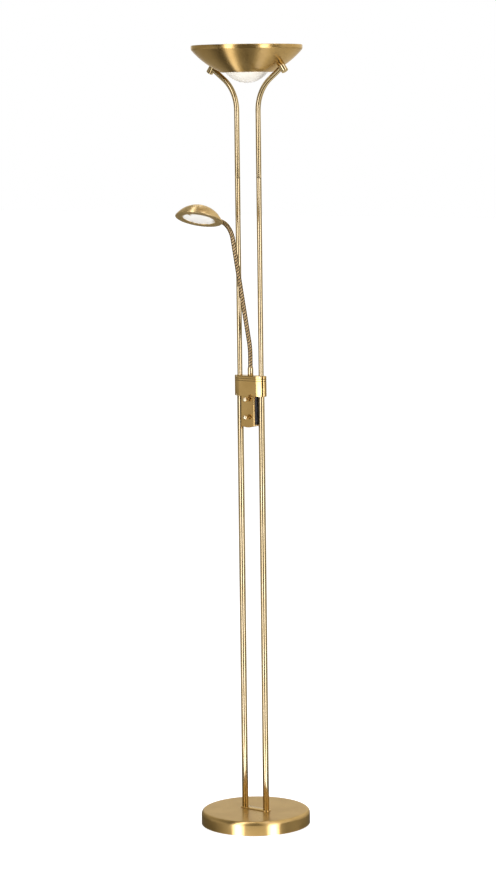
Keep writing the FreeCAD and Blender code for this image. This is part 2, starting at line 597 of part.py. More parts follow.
def make_head():
    neck_end, heading = neck_point(NECK_LENGTH)
    turn = Rotation(X, -HEAD_TILT) * Rotation(Y, HEAD_ROLL)
    inlet = neck_end + heading * SOCKET_LENGTH
    centre = inlet - turn.multVec(Vector(0, INLET_OUT, HEAD_INLET_HEIGHT))
    head_place = Placement(centre, turn)
    back = head_place.inverse()
    inlet_in, way_in = back.multVec(inlet), turn.inverted().multVec(heading)
    sphere_centre = Vector(0, 0, -HEAD_SPHERE_DROP)

    def place(shape):
        moved = shape.copy()
        moved.Placement = head_place.multiply(moved.Placement)
        return moved

    inner_sphere = HEAD_SPHERE - HEAD_WALL
    nipple_hole = cylinder(HEAD_NIPPLE_RADIUS, inlet_in - way_in * SOCKET_LENGTH,
                           2 * SOCKET_LENGTH, way_in)
    save("head_shell", place(dome(HEAD_SPHERE).cut(dome(inner_sphere)).cut(nipple_hole)))

    # The socket stops on the dome's round side, and the nut inside is cut to the same centre.
    socket = cylinder(SOCKET_RADIUS, inlet_in - way_in * SOCKET_LENGTH, 2 * SOCKET_LENGTH, way_in)
    socket = socket.cut(Part.makeSphere(HEAD_SPHERE, sphere_centre))
    socket = max(socket.Solids, key=lambda solid: solid.Volume)
    socket = socket.cut(nipple_hole)
    save("head_socket", place(socket))
    nipple = ring(HEAD_NIPPLE_RADIUS, NECK_BORE_RADIUS, inlet_in - way_in * SOCKET_LENGTH,
                  SOCKET_LENGTH + HEAD_NIPPLE_INSIDE, way_in)
    save("head_nipple", place(nipple))
    nut_end = HEAD_NIPPLE_INSIDE - HEAD_NUT_SHY
    nut = hexagon(HEAD_NUT_ACROSS, inlet_in, nut_end, way_in, HEAD_NIPPLE_RADIUS)
    save("head_nut", place(nut.common(Part.makeSphere(inner_sphere, sphere_centre))))

    mouth = math.sqrt(inner_sphere ** 2 - HEAD_SPHERE_DROP ** 2)
    lip_top = math.sqrt(inner_sphere ** 2 - (HEAD_SPHERE_DROP + BEZEL_LIP) ** 2) - RUNNING_FIT
    bezel = lathe([(BEZEL_OPENING, -BEZEL_THICKNESS), (HEAD_RADIUS, -BEZEL_THICKNESS),
                   (HEAD_RADIUS, 0), (mouth - SCREW_FIT, 0), (lip_top - SCREW_FIT, BEZEL_LIP),
                   (lip_top - SCREW_FIT - BEZEL_LIP_WALL, BEZEL_LIP),
                   (mouth - SCREW_FIT - BEZEL_LIP_WALL, 0), (BEZEL_OPENING, 0)])
    inlet_gap = cylinder(SOCKET_RADIUS + BEZEL_LIP_WALL, inlet_in, 3 * SOCKET_LENGTH, way_in)
    inlet_gap = inlet_gap.common(box((-HEAD_RADIUS, 0, 0),
                                     (HEAD_RADIUS, HEAD_RADIUS, HEAD_DOME)))
    save("head_bezel", place(bezel.cut(inlet_gap)))
    save("head_glass", place(cylinder(BEZEL_OPENING + HEAD_GLASS_OVERLAP, Vector(0, 0, 0),
                                      HEAD_GLASS_THICKNESS)))

    def clip(turned):
        tab = box((-CLIP_WIDTH / 2, -BEZEL_OPENING - CLIP_FOOT,
                   -BEZEL_THICKNESS - CLIP_THICKNESS),
                  (CLIP_WIDTH / 2, -BEZEL_OPENING + CLIP_REACH, -BEZEL_THICKNESS))
        tab.rotate(Vector(0, 0, 0), Z, turned)
        return place(tab)

    save("glass_clips", *[clip(360.0 / CLIP_COUNT * i) for i in range(CLIP_COUNT)])

    # The lamp lies across the dome; its holder has a boss that the nipple's end seats in.
    lamp_height = HEAD_GLASS_THICKNESS + HOLDER_CLEARANCE + HOLDER_RADIUS
    holder_back = INLET_OUT - HEAD_NIPPLE_INSIDE - HOLDER_LENGTH / 2
    holder = cylinder(HOLDER_RADIUS, Vector(0, holder_back, lamp_height), HOLDER_LENGTH, -Y)
    nipple_end = inlet_in + way_in * HEAD_NIPPLE_INSIDE
    link = Part.makeLoft([
        Part.Wire([Part.Circle(Vector(0, holder_back - HOLDER_OVERLAP, lamp_height), Y,
                               HOLDER_RADIUS - HOLDER_SHOULDER).toShape()]),
        Part.Wire([Part.Circle(nipple_end, way_in * -1, HEAD_NIPPLE_RADIUS).toShape()])],
        True, True)
    holder = holder.fuse(link)
    room = cylinder(HEAD_RADIUS, Vector(0, 0, HEAD_GLASS_THICKNESS + HOLDER_CLEARANCE / 2),
                    HEAD_DOME)
    save("reading_lamp_holder", place(holder.common(room)))
    bulb_back = holder_back - HOLDER_LENGTH
    bulb = cylinder(READING_BULB_RADIUS, Vector(0, bulb_back, lamp_height),
                    READING_BULB_LENGTH - READING_BULB_RADIUS, -Y)
    bulb = bulb.fuse(Part.makeSphere(
        READING_BULB_RADIUS,
        Vector(0, bulb_back - READING_BULB_LENGTH + READING_BULB_RADIUS, lamp_height)))
    save("reading_bulb", place(bulb.removeSplitter()))
    return centre, turn


# ---- bowl: a spun shell whose side is one arc, turned up into an upright rim with a rolled
# bead, and with a flange under it for the glass dish ----
RIM_TOP = TOTAL_HEIGHT
FLANGE_BOTTOM = RIM_TOP - BOWL_DEPTH
SIDE_TOP = RIM_TOP - RIM_BEAD_RADIUS
TURN_X, TURN_Z = BOWL_RADIUS - RIM_TURN_RADIUS, RIM_TOP - RIM_HEIGHT
BARREL_OUT = BOWL_RADIUS - BARREL_INSET


def side_centre():
    """Centre of the side's arc, which starts at the foot and runs smoothly into the turn."""
    dx, dz = TURN_X - BOWL_FOOT_RADIUS, TURN_Z - FLANGE_BOTTOM
    chord = math.hypot(dx, dz)
    to_turn = BOWL_ARC - RIM_TURN_RADIUS
    along = (BOWL_ARC ** 2 - to_turn ** 2 + chord ** 2) / (2 * chord)
    away = math.sqrt(BOWL_ARC ** 2 - along ** 2)
    return (BOWL_FOOT_RADIUS + (along * dx - away * dz) / chord,
            FLANGE_BOTTOM + (along * dz + away * dx) / chord)


SIDE_X, SIDE_Z = side_centre()
TURN_ANGLE = math.atan2(TURN_Z - SIDE_Z, TURN_X - SIDE_X)


def side_radius_at(height, arc_radius):
    return SIDE_X + math.sqrt(arc_radius ** 2 - (SIDE_Z - height) ** 2)


def bowl_solid(inset, bottom):
    """Everything inside the bowl's outer face moved in by inset, from bottom to the bead."""
    side, turn, rim = BOWL_ARC - inset, RIM_TURN_RADIUS - inset, BOWL_RADIUS - inset
    low = (side_radius_at(bottom, side), bottom)
    joint = (SIDE_X + side * math.cos(TURN_ANGLE), SIDE_Z + side * math.sin(TURN_ANGLE))
    half_way = (bottom + joint[1]) / 2
    turned = (TURN_X + turn * math.cos(TURN_ANGLE / 2), TURN_Z + turn * math.sin(TURN_ANGLE / 2))
    return revolved([
        line((0, bottom), low), arc(low, (side_radius_at(half_way, side), half_way), joint),
        arc(joint, turned, (rim, TURN_Z)), line((rim, TURN_Z), (rim, SIDE_TOP)),
        line((rim, SIDE_TOP), (0, SIDE_TOP)), line((0, SIDE_TOP), (0, bottom))])


BARREL_REACH = BOWL_ARC + BARREL_LENGTH / 2
BARREL_SLOPE = math.degrees(math.acos((BARREL_OUT - SIDE_X) / BARREL_REACH))


def barrel_frame(sign):
    """Middle of a barrel and its direction away from the bowl."""
    slope = math.radians(BARREL_SLOPE)
    middle = Vector(sign * BARREL_OUT, 0, SIDE_Z - BARREL_REACH * math.sin(slope))
    return middle, Vector(sign * math.cos(slope), 0, -math.sin(slope))


def make_arm(sign):
    """Tube from the coupler up, bent out to its barrel and square to it."""
    side = sign * RIGHT
    middle = barrel_frame(sign)[0]
    turn = math.radians(BARREL_SLOPE)
    bend_out = ARM_BEND_RADIUS * (1 - math.cos(turn))
    slant = (BARREL_OUT - RIGHT - bend_out) / math.sin(turn)
    bend_start = middle.z - slant * math.cos(turn) - ARM_BEND_RADIUS * math.sin(turn)
    corner = Vector(sign * (RIGHT + bend_out), 0, middle.z - slant * math.cos(turn))
    along = Vector(sign * math.sin(turn), 0, math.cos(turn))
    end = middle - along * (BARREL_STUD_RADIUS + ARM_END_GAP)
    half = turn / 2
    bend_middle = Vector(sign * (RIGHT + ARM_BEND_RADIUS * (1 - math.cos(half))), 0,
                         bend_start + ARM_BEND_RADIUS * math.sin(half))
    start = Vector(side, 0, COUPLER_TOP)
    low = Vector(side, 0, bend_start)
    path = Part.Wire([Part.LineSegment(start, low).toShape(),
                      Part.Arc(low, bend_middle, corner).toShape(),
                      Part.LineSegment(corner, end).toShape()])
    outer = Part.Wire([Part.Circle(start, Z, UPPER_TUBE_RADIUS).toShape()])
    inner = Part.Wire([Part.Circle(start, Z, UPPER_BORE).toShape()])
    tube = path.makePipeShell([outer], True, True)
    return tube.cut(path.makePipeShell([inner], True, True))


def make_bowl_and_arms():
    shell = bowl_solid(0, FLANGE_BOTTOM)
    inside = bowl_solid(BOWL_WALL, FLANGE_BOTTOM + BOWL_WALL)
    bead = Part.makeTorus(BOWL_RADIUS - RIM_BEAD_RADIUS, RIM_BEAD_RADIUS, Vector(0, 0, SIDE_TOP))
    bowl = shell.cut(inside).fuse(bead)
    bowl = bowl.cut(cylinder(BOWL_OPENING, Vector(0, 0, FLANGE_BOTTOM), BOWL_WALL))

    barrels, studs, seats, nuts = [], [], [], []
    stud_holes = []
    feet = []
    for sign in (-1, 1):
        middle, outward = barrel_frame(sign)
        inward = outward * -1
        wall_outside = middle + inward * (BARREL_LENGTH / 2)
        wall_inside = wall_outside + inward * BOWL_WALL
        stud_start = wall_outside + outward * BARREL_STUD_DEPTH
        stud_length = BARREL_STUD_DEPTH + BOWL_WALL + BARREL_STUD_INSIDE
        stud_holes.append(cylinder(BARREL_STUD_RADIUS + SCREW_FIT, stud_start, stud_length,
                                   inward))
        studs.append(cylinder(BARREL_STUD_RADIUS, stud_start, stud_length, inward))
        slope = math.radians(BARREL_SLOPE)
        along = Vector(sign * math.sin(slope), 0, math.cos(slope))
        arm_hole = cylinder(UPPER_TUBE_RADIUS + RUNNING_FIT,
                            middle - along * (BARREL_STUD_RADIUS + ARM_END_GAP),
                            2 * BARREL_RADIUS, along * -1)
        barrel = cylinder(BARREL_RADIUS, middle + outward * (BARREL_LENGTH / 2),
                          BARREL_LENGTH + BARREL_RADIUS, inward)
        barrel = barrel.cut(shell).cut(arm_hole)
        barrel = max(barrel.Solids, key=lambda solid: solid.Volume)
        barrels.append(barrel.cut(studs[-1]))
        # The seat under the bracket's foot is flat above and follows the bowl below.
        seat = ring(SEAT_RADIUS, BARREL_STUD_RADIUS + SCREW_FIT,
                    wall_outside, BOWL_WALL + SEAT_THICKNESS, inward)
        seats.append(seat.common(inside))
        foot_bottom = wall_inside + inward * SEAT_THICKNESS
        nuts.append(hexagon(BOWL_NUT_ACROSS, foot_bottom + inward * BRACKET_THICKNESS,
                            BOWL_NUT_THICKNESS, inward, BARREL_STUD_RADIUS))
        foot = box((-BRACKET_FOOT_DOWN, -BRACKET_WIDTH / 2, 0),
                   (BRACKET_FOOT_UP, BRACKET_WIDTH / 2, BRACKET_THICKNESS))
        if sign < 0:
            foot = foot.mirror(Vector(0, 0, 0), X)
        foot.Placement = Placement(foot_bottom, Rotation(Y, -sign * (90 - BARREL_SLOPE)))
        feet.append(foot)
        save("upper_tube_left" if sign < 0 else "upper_tube_right", make_arm(sign))
    save("barrel_left", barrels[0])
    save("barrel_right", barrels[1])
    save("barrel_studs", *studs)
    save("bowl_seats", *seats)
    save("bowl_nuts", *nuts)
    save("bowl", bowl.cut(stud_holes[0]).cut(stud_holes[1]).removeSplitter())

    # Bracket: a strip across the bowl between the two slanting feet.
    inward = barrel_frame(1)[1] * -1
    slope = math.radians(90 - BARREL_SLOPE)
    stud_foot = (barrel_frame(1)[0] + inward * (BARREL_LENGTH / 2 + BOWL_WALL + SEAT_THICKNESS))
    span_half = stud_foot.x - BRACKET_FOOT_DOWN * math.cos(slope)
    span_bottom = stud_foot.z - BRACKET_FOOT_DOWN * math.sin(slope)
    span_top = span_bottom + BRACKET_THICKNESS
    strip = box((-span_half, -BRACKET_WIDTH / 2, span_bottom),
                (span_half, BRACKET_WIDTH / 2, span_top))
    strip = strip.fuse(feet[0]).fuse(feet[1])
    for hole in stud_holes:
        strip = strip.cut(hole)
    save("lamp_bracket", strip.removeSplitter())

    lamp_z = span_top + LAMP_AXIS_RISE
    cap_end = LAMP_TUBE_HALF + LAMP_CAP_LENGTH
    lamp = cylinder(LAMP_TUBE_RADIUS, Vector(-LAMP_TUBE_HALF, 0, lamp_z), 2 * LAMP_TUBE_HALF, X)
    lamp = lamp.fuse(cylinder(LAMP_CAP_RADIUS, Vector(-cap_end, 0, lamp_z), 2 * cap_end, X))
    save("halogen_lamp", lamp.removeSplitter())
    long, wide, tall = LAMP_HOLDER_SIZE
    holders = []
    for sign in (-1, 1):
        near = sign * (cap_end - LAMP_HOLDER_RECESS)
        far = near + sign * long
        block = box((min(near, far), -wide / 2, span_top), (max(near, far), wide / 2,
                                                            span_top + tall))
        recess = cylinder(LAMP_CAP_RADIUS + RUNNING_FIT, Vector(near, 0, lamp_z),
                          LAMP_HOLDER_RECESS, X * sign)
        holders.append(block.cut(recess))
    save("lamp_holders", *holders)

    flange_top = FLANGE_BOTTOM + BOWL_WALL
    dish_sphere = (DISH_RADIUS ** 2 + DISH_DROP ** 2) / (2 * DISH_DROP)
    dish_centre = Vector(0, 0, FLANGE_BOTTOM - DISH_DROP + dish_sphere)
    below = box((-BOWL_RADIUS, -BOWL_RADIUS, FLANGE_BOTTOM - DISH_DROP),
                (BOWL_RADIUS, BOWL_RADIUS, flange_top + DISH_FLANGE))
    solid = Part.makeSphere(dish_sphere, dish_centre).common(
        cylinder(DISH_RADIUS, Vector(0, 0, FLANGE_BOTTOM - DISH_DROP),
                 DISH_DROP + BOWL_WALL + DISH_FLANGE))
    solid = solid.fuse(cylinder(DISH_RADIUS, Vector(0, 0, FLANGE_BOTTOM),
                                BOWL_WALL + DISH_FLANGE))
    solid = solid.fuse(cylinder(DISH_FLANGE_RADIUS, Vector(0, 0, flange_top), DISH_FLANGE))
    hollow = Part.makeSphere(dish_sphere - DISH_WALL, dish_centre)
    hollow = hollow.common(below)
    save("bowl_glass", solid.common(below).cut(hollow).removeSplitter())
    return span_top, lamp_z


def main():
    os.makedirs("parts", exist_ok=True)
    make_base()
    make_lower_stems()
    make_collar()
    make_dimmer()
    make_knobs()
    make_neck()
    centre, _ = make_head()
    span_top, lamp_z = make_bowl_and_arms()
    print("neck length %.1f, link %.2f" % (NECK_LENGTH, LINK_LENGTH))
    for number in range(1, NECK_LINKS + 1):
        place, heading = neck_point(joint_length(number))
        print("joint %d at %.3f %.3f heading %.4f %.4f" % (
            number, place.y, place.z, heading.y, heading.z))
    print("head centre %.2f %.2f %.2f" % (centre.x, centre.y, centre.z))
    print("bracket top %.2f, lamp axis %.2f, barrel slope %.2f" % (span_top, lamp_z, BARREL_SLOPE))


main()
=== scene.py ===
"""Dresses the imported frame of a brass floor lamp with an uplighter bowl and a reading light."""
import json
import math

import bmesh
import bpy
from mathutils import Matrix, Vector


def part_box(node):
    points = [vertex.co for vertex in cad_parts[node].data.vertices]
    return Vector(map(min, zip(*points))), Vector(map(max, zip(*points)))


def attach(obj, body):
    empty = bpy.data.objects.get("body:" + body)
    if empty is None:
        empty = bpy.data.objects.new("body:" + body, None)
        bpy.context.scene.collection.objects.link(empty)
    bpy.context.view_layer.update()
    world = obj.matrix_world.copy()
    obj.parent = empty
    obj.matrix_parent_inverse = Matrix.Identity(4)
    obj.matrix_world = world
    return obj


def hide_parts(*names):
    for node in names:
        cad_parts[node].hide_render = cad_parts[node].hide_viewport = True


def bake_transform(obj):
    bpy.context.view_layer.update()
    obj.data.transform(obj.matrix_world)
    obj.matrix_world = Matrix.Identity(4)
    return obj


bl_info = {
    "name": "Torchiere floor lamp",
    "version": (1, 0, 0),
    "blender": (4, 5, 0),
    "location": "View3D > Sidebar > Torchiere",
    "description": "Spun brass bowl, twin stems, ribbed gooseneck and reading head over a packed frame",
    "category": "Object",
}

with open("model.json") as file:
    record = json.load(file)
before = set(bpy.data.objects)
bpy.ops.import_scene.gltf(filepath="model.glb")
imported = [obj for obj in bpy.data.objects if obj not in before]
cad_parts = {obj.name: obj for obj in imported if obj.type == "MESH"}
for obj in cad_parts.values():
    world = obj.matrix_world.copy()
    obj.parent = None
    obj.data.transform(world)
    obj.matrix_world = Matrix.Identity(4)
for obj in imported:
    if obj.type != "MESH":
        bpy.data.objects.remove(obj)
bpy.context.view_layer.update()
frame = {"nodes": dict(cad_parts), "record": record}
SLOTS = {row["node"]: row["material_slot"] for row in frame["record"]["subparts"]}
MM = 0.001


# ---- sizes in millimetres, as the frame has them ----
BASE_LIFT, BASE_WALL, BASE_EDGE, BASE_HEM = 1.5, 1.2, 9.0, 0.5
BASE_TOP_RINGS = 12
FOOT_PLATE_MARGIN, FOOT_PLATE_THICKNESS, FOOT_PLATE_HEM = 3.25, 2.0, 0.1
FOOT_PLATE_EDGE = ((0.0, 0.6), (0.18, 0.18), (0.6, 0.0))   # insets and drops of its top edge
LOWER_RADIUS, LOWER_WALL, UPPER_RADIUS = 7.25, 1.2, 6.0
LOWER_TUBE_TOP, UPPER_TUBE_BOTTOM = 1024.0, 1028.0
COLLAR_BOTTOM, COLLAR_TOP, COLLAR_RADIUS, COLLAR_WALL = 1003.0, 1050.0, 13.0, 2.2
COLLAR_EDGE = ((0.5, 0.0), (0.15, 0.15), (0.0, 0.5))       # insets and drops of its edges
CORNER_ANGLES, CORNER_BEND, CORNER_SLANT = (15.0, 22.0), 6.0, 115.0
GROOVE_DROPS, GROOVE_DEPTH, GROOVE_WIDTH, GROOVE_FLANK = (6.4, 11.5), 0.5, 1.0, 0.25
GROOVE_LEVELS = (4, 5, 6, 8, 9, 10)                        # rows of the profile in a groove
FRONT = -13.0
KNOB_HEIGHTS = {"upper": 996.2, "lower": 955.0}
KNOB_RADIUS, KNOB_NECK_RADIUS, KNOB_EDGE = 5.6, 3.4, 0.45
KNOB_START, KNOB_NECK_END, KNOB_SIDE, KNOB_END, KNOB_CROWN = 0.4, 6.6, 9.0, 14.6, 4.0
NECK_SEAT = 1063.0
NECK_RISE, NECK_LOWER_BEND, NECK_LEAN, NECK_RUN = 32.0, 150.0, 13.2, 240.0
NECK_UPPER_BEND, NECK_END_ANGLE = 57.7, 99.0
NECK_FOOT, NECK_LINKS = 38.0, 8
HOSE_STARTS, HOSE_STEP, HOSE_STEPS_AROUND = 3.0, 0.45, 36
BLEND_SHARE = 0.4                                           # of a link, either side of its hinge
FERRULE_HEIGHT, FERRULE_RADIUS, FERRULE_TAPER, FERRULE_MOUTH = 19.0, 6.6, 2.2, 5.7
FERRULE_BORE, FERRULE_UPPER_BORE, FERRULE_STEP = 5.0, 5.2, (12.0, 13.0)
HEAD_CENTRE, HEAD_TILT, HEAD_ROLL = (0.54, -180.53, 1414.44), 20.3, -3.9
HEAD_DOME, HEAD_WALL = 31.0, 1.0
BEZEL_THICKNESS, BEZEL_OPENING, BEZEL_EDGE, BEZEL_HEM = 1.2, 36.5, 0.5, 0.25
BEZEL_LIP = ((1.4, 0), (3.2, 4.0), (4.0, 4.0), (2.4, 0))    # insets and heights inside the shell
GLASS_RADIUS, GLASS_THICKNESS, GLASS_MAP_RADIUS = 38.5, 3.0, 20.0
BOWL_ARC, BOWL_TURN, RIM_HEIGHT = 195.0, 6.0, 7.4
BOWL_WALL, BOWL_OPENING, BOWL_FOOT_RADIUS, BOWL_FOOT_EDGE = 1.2, 50.0, 58.4, 0.8
FLANGE_BOTTOM, RIM_BEAD, RIM_TOP = 1739.0, 2.3, 1800.0
DISH_RADIUS, DISH_DROP, DISH_WALL, DISH_FLANGE_RADIUS, DISH_FLANGE = 48.4, 24.0, 2.5, 55.0, 2.5
DISH_START, DISH_MAP_RADIUS = 0.3, 30.0
BARREL_INSET, BARREL_RADIUS, BARREL_LENGTH, BARREL_PROUD, BARREL_EDGE = 25.5, 8.0, 25.0, 0.35, 0.7
ARM_BEND, ARM_END_INSIDE, ARM_STEP, ARM_STEPS_AROUND = 88.0, 3.4, 4.0, 40
SMALL_EDGE, SHEET_EDGE, GLASS_EDGE = 0.35, 0.3, 0.5
# steps round the turned pieces
BASE_STEPS, BOWL_STEPS, HEAD_STEPS, GLASS_STEPS, SMALL_STEPS = 192, 224, 128, 96, 48


def linear(hex_colour):
    """An sRGB hex colour as Blender's linear one."""
    parts = [int(hex_colour[i:i + 2], 16) / 255 for i in (1, 3, 5)]
    return tuple(c / 12.92 if c <= 0.04045 else ((c + 0.055) / 1.055) ** 2.4
                 for c in parts) + (1.0,)


class LampSizes(bpy.types.PropertyGroup):
    base_radius: bpy.props.FloatProperty(
        name="Base radius", description="Outer radius of the round base",
        default=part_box("base_cover")[1].x, unit="LENGTH")
    base_height: bpy.props.FloatProperty(
        name="Base height", description="Top of the base above the floor",
        default=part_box("base_cover")[1].z, unit="LENGTH")
    stem_spacing: bpy.props.FloatProperty(
        name="Stem spacing", description="Between the axes of the two stems",
        default=0.0615, unit="LENGTH")
    head_radius: bpy.props.FloatProperty(
        name="Reading head radius", description="Outer radius of the domed reading head",
        default=0.0533, unit="LENGTH")
    bowl_radius: bpy.props.FloatProperty(
        name="Bowl radius", description="Outer radius of the bowl at its upright rim",
        default=0.1265, unit="LENGTH")
    hose_radius: bpy.props.FloatProperty(
        name="Hose radius", description="Radius in the grooves of the gooseneck",
        default=0.00475, unit="LENGTH")
    rib_height: bpy.props.FloatProperty(
        name="Rib height", description="Height of the gooseneck's windings above the grooves",
        default=0.0007, unit="LENGTH")
    rib_pitch: bpy.props.FloatProperty(
        name="Rib pitch", description="From one winding of the gooseneck to the next",
        default=0.0068, unit="LENGTH")


class LampFinishes(bpy.types.PropertyGroup):
    brass: bpy.props.FloatVectorProperty(
        name="Brass", description="Colour of the satin antique brass finish",
        subtype="COLOR", size=4, min=0, max=1, default=linear("#BE9B5B"))
    brass_dark: bpy.props.FloatVectorProperty(
        name="Brass, toned", description="The finish where its toning is deepest",
        subtype="COLOR", size=4, min=0, max=1, default=linear("#B38F4F"))
    opal: bpy.props.FloatVectorProperty(
        name="Opal glass", description="Colour of the reading head's glass",
        subtype="COLOR", size=4, min=0, max=1, default=linear("#E5E2DC"))
    dish: bpy.props.FloatVectorProperty(
        name="Dish glass", description="Colour of the glass dish under the bowl",
        subtype="COLOR", size=4, min=0, max=1, default=linear("#D8D3C8"))
    # The dimmer body's black is partly painted shade, on its side beside the right stem.
    moulding: bpy.props.FloatVectorProperty(
        name="Black moulding", description="Colour of the dimmer's body",
        subtype="COLOR", size=4, min=0, max=1, default=linear("#121110"))


# ---- node helpers ----
MATH, MIX, ATTRIBUTE = "ShaderNodeMath", "ShaderNodeMix", "GeometryNodeInputNamedAttribute"
# where the Mix node has its sockets for colours, and how it is set for them
FACTOR, FIRST, SECOND = 0, 6, 7
COLOURS = {"output": 2, "data_type": "RGBA"}


def feed(tree, node, inputs):
    """Gives each input of a node, by place or by name, its value or the socket that feeds it."""
    for name, value in inputs.items() if isinstance(inputs, dict) else enumerate(inputs):
        if isinstance(value, bpy.types.NodeSocket):
            tree.links.new(value, node.inputs[name])
        else:
            node.inputs[name].default_value = value


def add(tree, kind, inputs=(), output=0, **settings):
    """Adds a node with its settings and its inputs. Gives back the output that is asked for, or
    the node itself where that is None."""
    made = tree.nodes.new(kind)
    for name, value in settings.items():
        setattr(made, name, value)
    feed(tree, made, inputs)
    return made if output is None else made.outputs[output]


def new_tree(name, sockets):
    """A geometry node tree with the named inputs, and what its input node gives."""
    tree = bpy.data.node_groups.new(name, "GeometryNodeTree")
    for label, kind in [("Geometry", "Geometry")] + sockets + [("Material", "Material")]:
        tree.interface.new_socket(label, in_out="INPUT", socket_type="NodeSocket" + kind)
    tree.interface.new_socket("Geometry", in_out="OUTPUT", socket_type="NodeSocketGeometry")
    return tree, add(tree, "NodeGroupInput", output=None).outputs


def close_tree(tree, given, geometry):
    """Every tree ends with the instances made real, smooth faces and the piece's material."""
    real = add(tree, "GeometryNodeRealizeInstances", [geometry])
    smooth = add(tree, "GeometryNodeSetShadeSmooth", [real])
    coated = add(tree, "GeometryNodeSetMaterial", {
        "Geometry": smooth, "Material": given["Material"]})
    add(tree, "NodeGroupOutput", [coated], None)
    return tree


def turned_tree():
    """Turns a profile, given as a row of points with their run along it, round the Z axis."""
    tree, given = new_tree("Turned on a lathe", [("Steps", "Int"), ("Reference radius", "Float")])
    profile, steps = given["Geometry"], given["Steps"]
    rows = add(tree, "GeometryNodeAttributeDomainSize", [profile], "Point Count",
               component="MESH")
    columns = add(tree, MATH, (steps, 1.0), operation="ADD")
    grid = add(tree, "GeometryNodeMeshGrid", {"Vertices X": columns, "Vertices Y": rows})
    index = add(tree, "GeometryNodeInputIndex")
    row = add(tree, MATH, (index, rows), operation="MODULO")
    column = add(tree, MATH, [add(tree, MATH, (index, rows), operation="DIVIDE")],
                 operation="FLOOR")
    place = add(tree, "GeometryNodeInputPosition")
    point = add(tree, "GeometryNodeSampleIndex", {
        "Geometry": profile, "Value": place, "Index": row},
        data_type="FLOAT_VECTOR", domain="POINT")
    along = add(tree, ATTRIBUTE, {"Name": "run"}, data_type="FLOAT")
    run = add(tree, "GeometryNodeSampleIndex", {
        "Geometry": profile, "Value": along, "Index": row}, data_type="FLOAT", domain="POINT")
    share = add(tree, MATH, (column, steps), operation="DIVIDE")
    angle = add(tree, MATH, (share, math.tau), operation="MULTIPLY")
    turned_point = add(tree, "ShaderNodeVectorRotate", {"Vector": point, "Angle": angle},
                       rotation_type="Z_AXIS")
    around = add(tree, MATH, (angle, given["Reference radius"]), operation="MULTIPLY")
    mapped = add(tree, "GeometryNodeStoreNamedAttribute", {
        "Geometry": grid, "Name": "UVMap",
        "Value": add(tree, "ShaderNodeCombineXYZ", (around, run))},
        data_type="FLOAT2", domain="CORNER")
    shaped = add(tree, "GeometryNodeSetPosition", {
        "Geometry": mapped, "Position": turned_point})
    merged = add(tree, "GeometryNodeMergeByDistance", {"Geometry": shaped, "Distance": 1e-6})
    return close_tree(tree, given, merged)


def swept_tree():
    """Runs a round tube along a path, from one length to another, with spiral ribs on it. The
    attribute dip says how deep in a groove a point lies."""
    tree, given = new_tree("Tube along a path", [
        ("Path", "Object"), ("Start", "Float"), ("End", "Float"), ("Radius", "Float"),
        ("Rib height", "Float"), ("Rib pitch", "Float"), ("Rib starts", "Float"),
        ("Step", "Float"), ("Steps around", "Int"), ("Normal", "Vector")])
    path = add(tree, "GeometryNodeObjectInfo", {"Object": given["Path"]}, "Geometry",
               transform_space="ORIGINAL")
    line = add(tree, "GeometryNodeSetCurveNormal", {
        "Curve": path, "Normal": given["Normal"]}, mode="FREE")
    marked = add(tree, "GeometryNodeStoreNamedAttribute", {
        "Geometry": line, "Name": "along",
        "Value": add(tree, "GeometryNodeSplineParameter", output="Length")},
        data_type="FLOAT", domain="POINT")
    part = add(tree, "GeometryNodeTrimCurve", {0: marked, 4: given["Start"], 5: given["End"]},
               mode="LENGTH")
    fine = add(tree, "GeometryNodeResampleCurve", {
        "Curve": part, "Length": given["Step"]}, mode="LENGTH")
    ring = add(tree, "GeometryNodeCurvePrimitiveCircle", {
        "Resolution": given["Steps around"], "Radius": given["Radius"]}, mode="RADIUS")
    ring = add(tree, "GeometryNodeStoreNamedAttribute", {
        "Geometry": ring, "Name": "around",
        "Value": add(tree, "GeometryNodeSplineParameter", output="Factor")},
        data_type="FLOAT", domain="POINT")
    tube = add(tree, "GeometryNodeCurveToMesh", {
        "Curve": fine, "Profile Curve": ring, "Fill Caps": True})
    length, turn = (add(tree, ATTRIBUTE, {"Name": name}, data_type="FLOAT")
                    for name in ("along", "around"))
    windings = add(tree, MATH, (length, given["Rib pitch"]), operation="DIVIDE")
    started = add(tree, MATH, (turn, given["Rib starts"]), operation="MULTIPLY")
    winding = add(tree, MATH, (windings, started), operation="SUBTRACT")
    swing = add(tree, MATH, [add(tree, MATH, [winding], operation="FRACT"), 2.0],
                operation="MULTIPLY")
    swing = add(tree, MATH, (swing, 1.0), operation="SUBTRACT")
    square = add(tree, MATH, (swing, swing), operation="MULTIPLY")
    bulge = add(tree, MATH, (1.0, square), operation="SUBTRACT")
    bulge = add(tree, MATH, (bulge, 0.0), operation="MAXIMUM")
    round_top = add(tree, MATH, (bulge, 0.6), operation="POWER")
    height = add(tree, MATH, (round_top, given["Rib height"]), operation="MULTIPLY")
    dipped = add(tree, "GeometryNodeStoreNamedAttribute", {
        "Geometry": tube, "Name": "dip",
        "Value": add(tree, MATH, (1.0, round_top), operation="SUBTRACT")},
        data_type="FLOAT", domain="POINT")
    push = add(tree, "ShaderNodeVectorMath", {
        0: add(tree, "GeometryNodeInputNormal"), "Scale": height}, operation="SCALE")
    ribbed = add(tree, "GeometryNodeSetPosition", {"Geometry": dipped, "Offset": push})
    angle = add(tree, MATH, (turn, math.tau), operation="MULTIPLY")
    girth = add(tree, MATH, (angle, given["Radius"]), operation="MULTIPLY")
    mapped = add(tree, "GeometryNodeStoreNamedAttribute", {
        "Geometry": ribbed, "Name": "UVMap",
        "Value": add(tree, "ShaderNodeCombineXYZ", (girth, length))},
        data_type="FLOAT2", domain="CORNER")
    return close_tree(tree, given, mapped)


TREES = {}


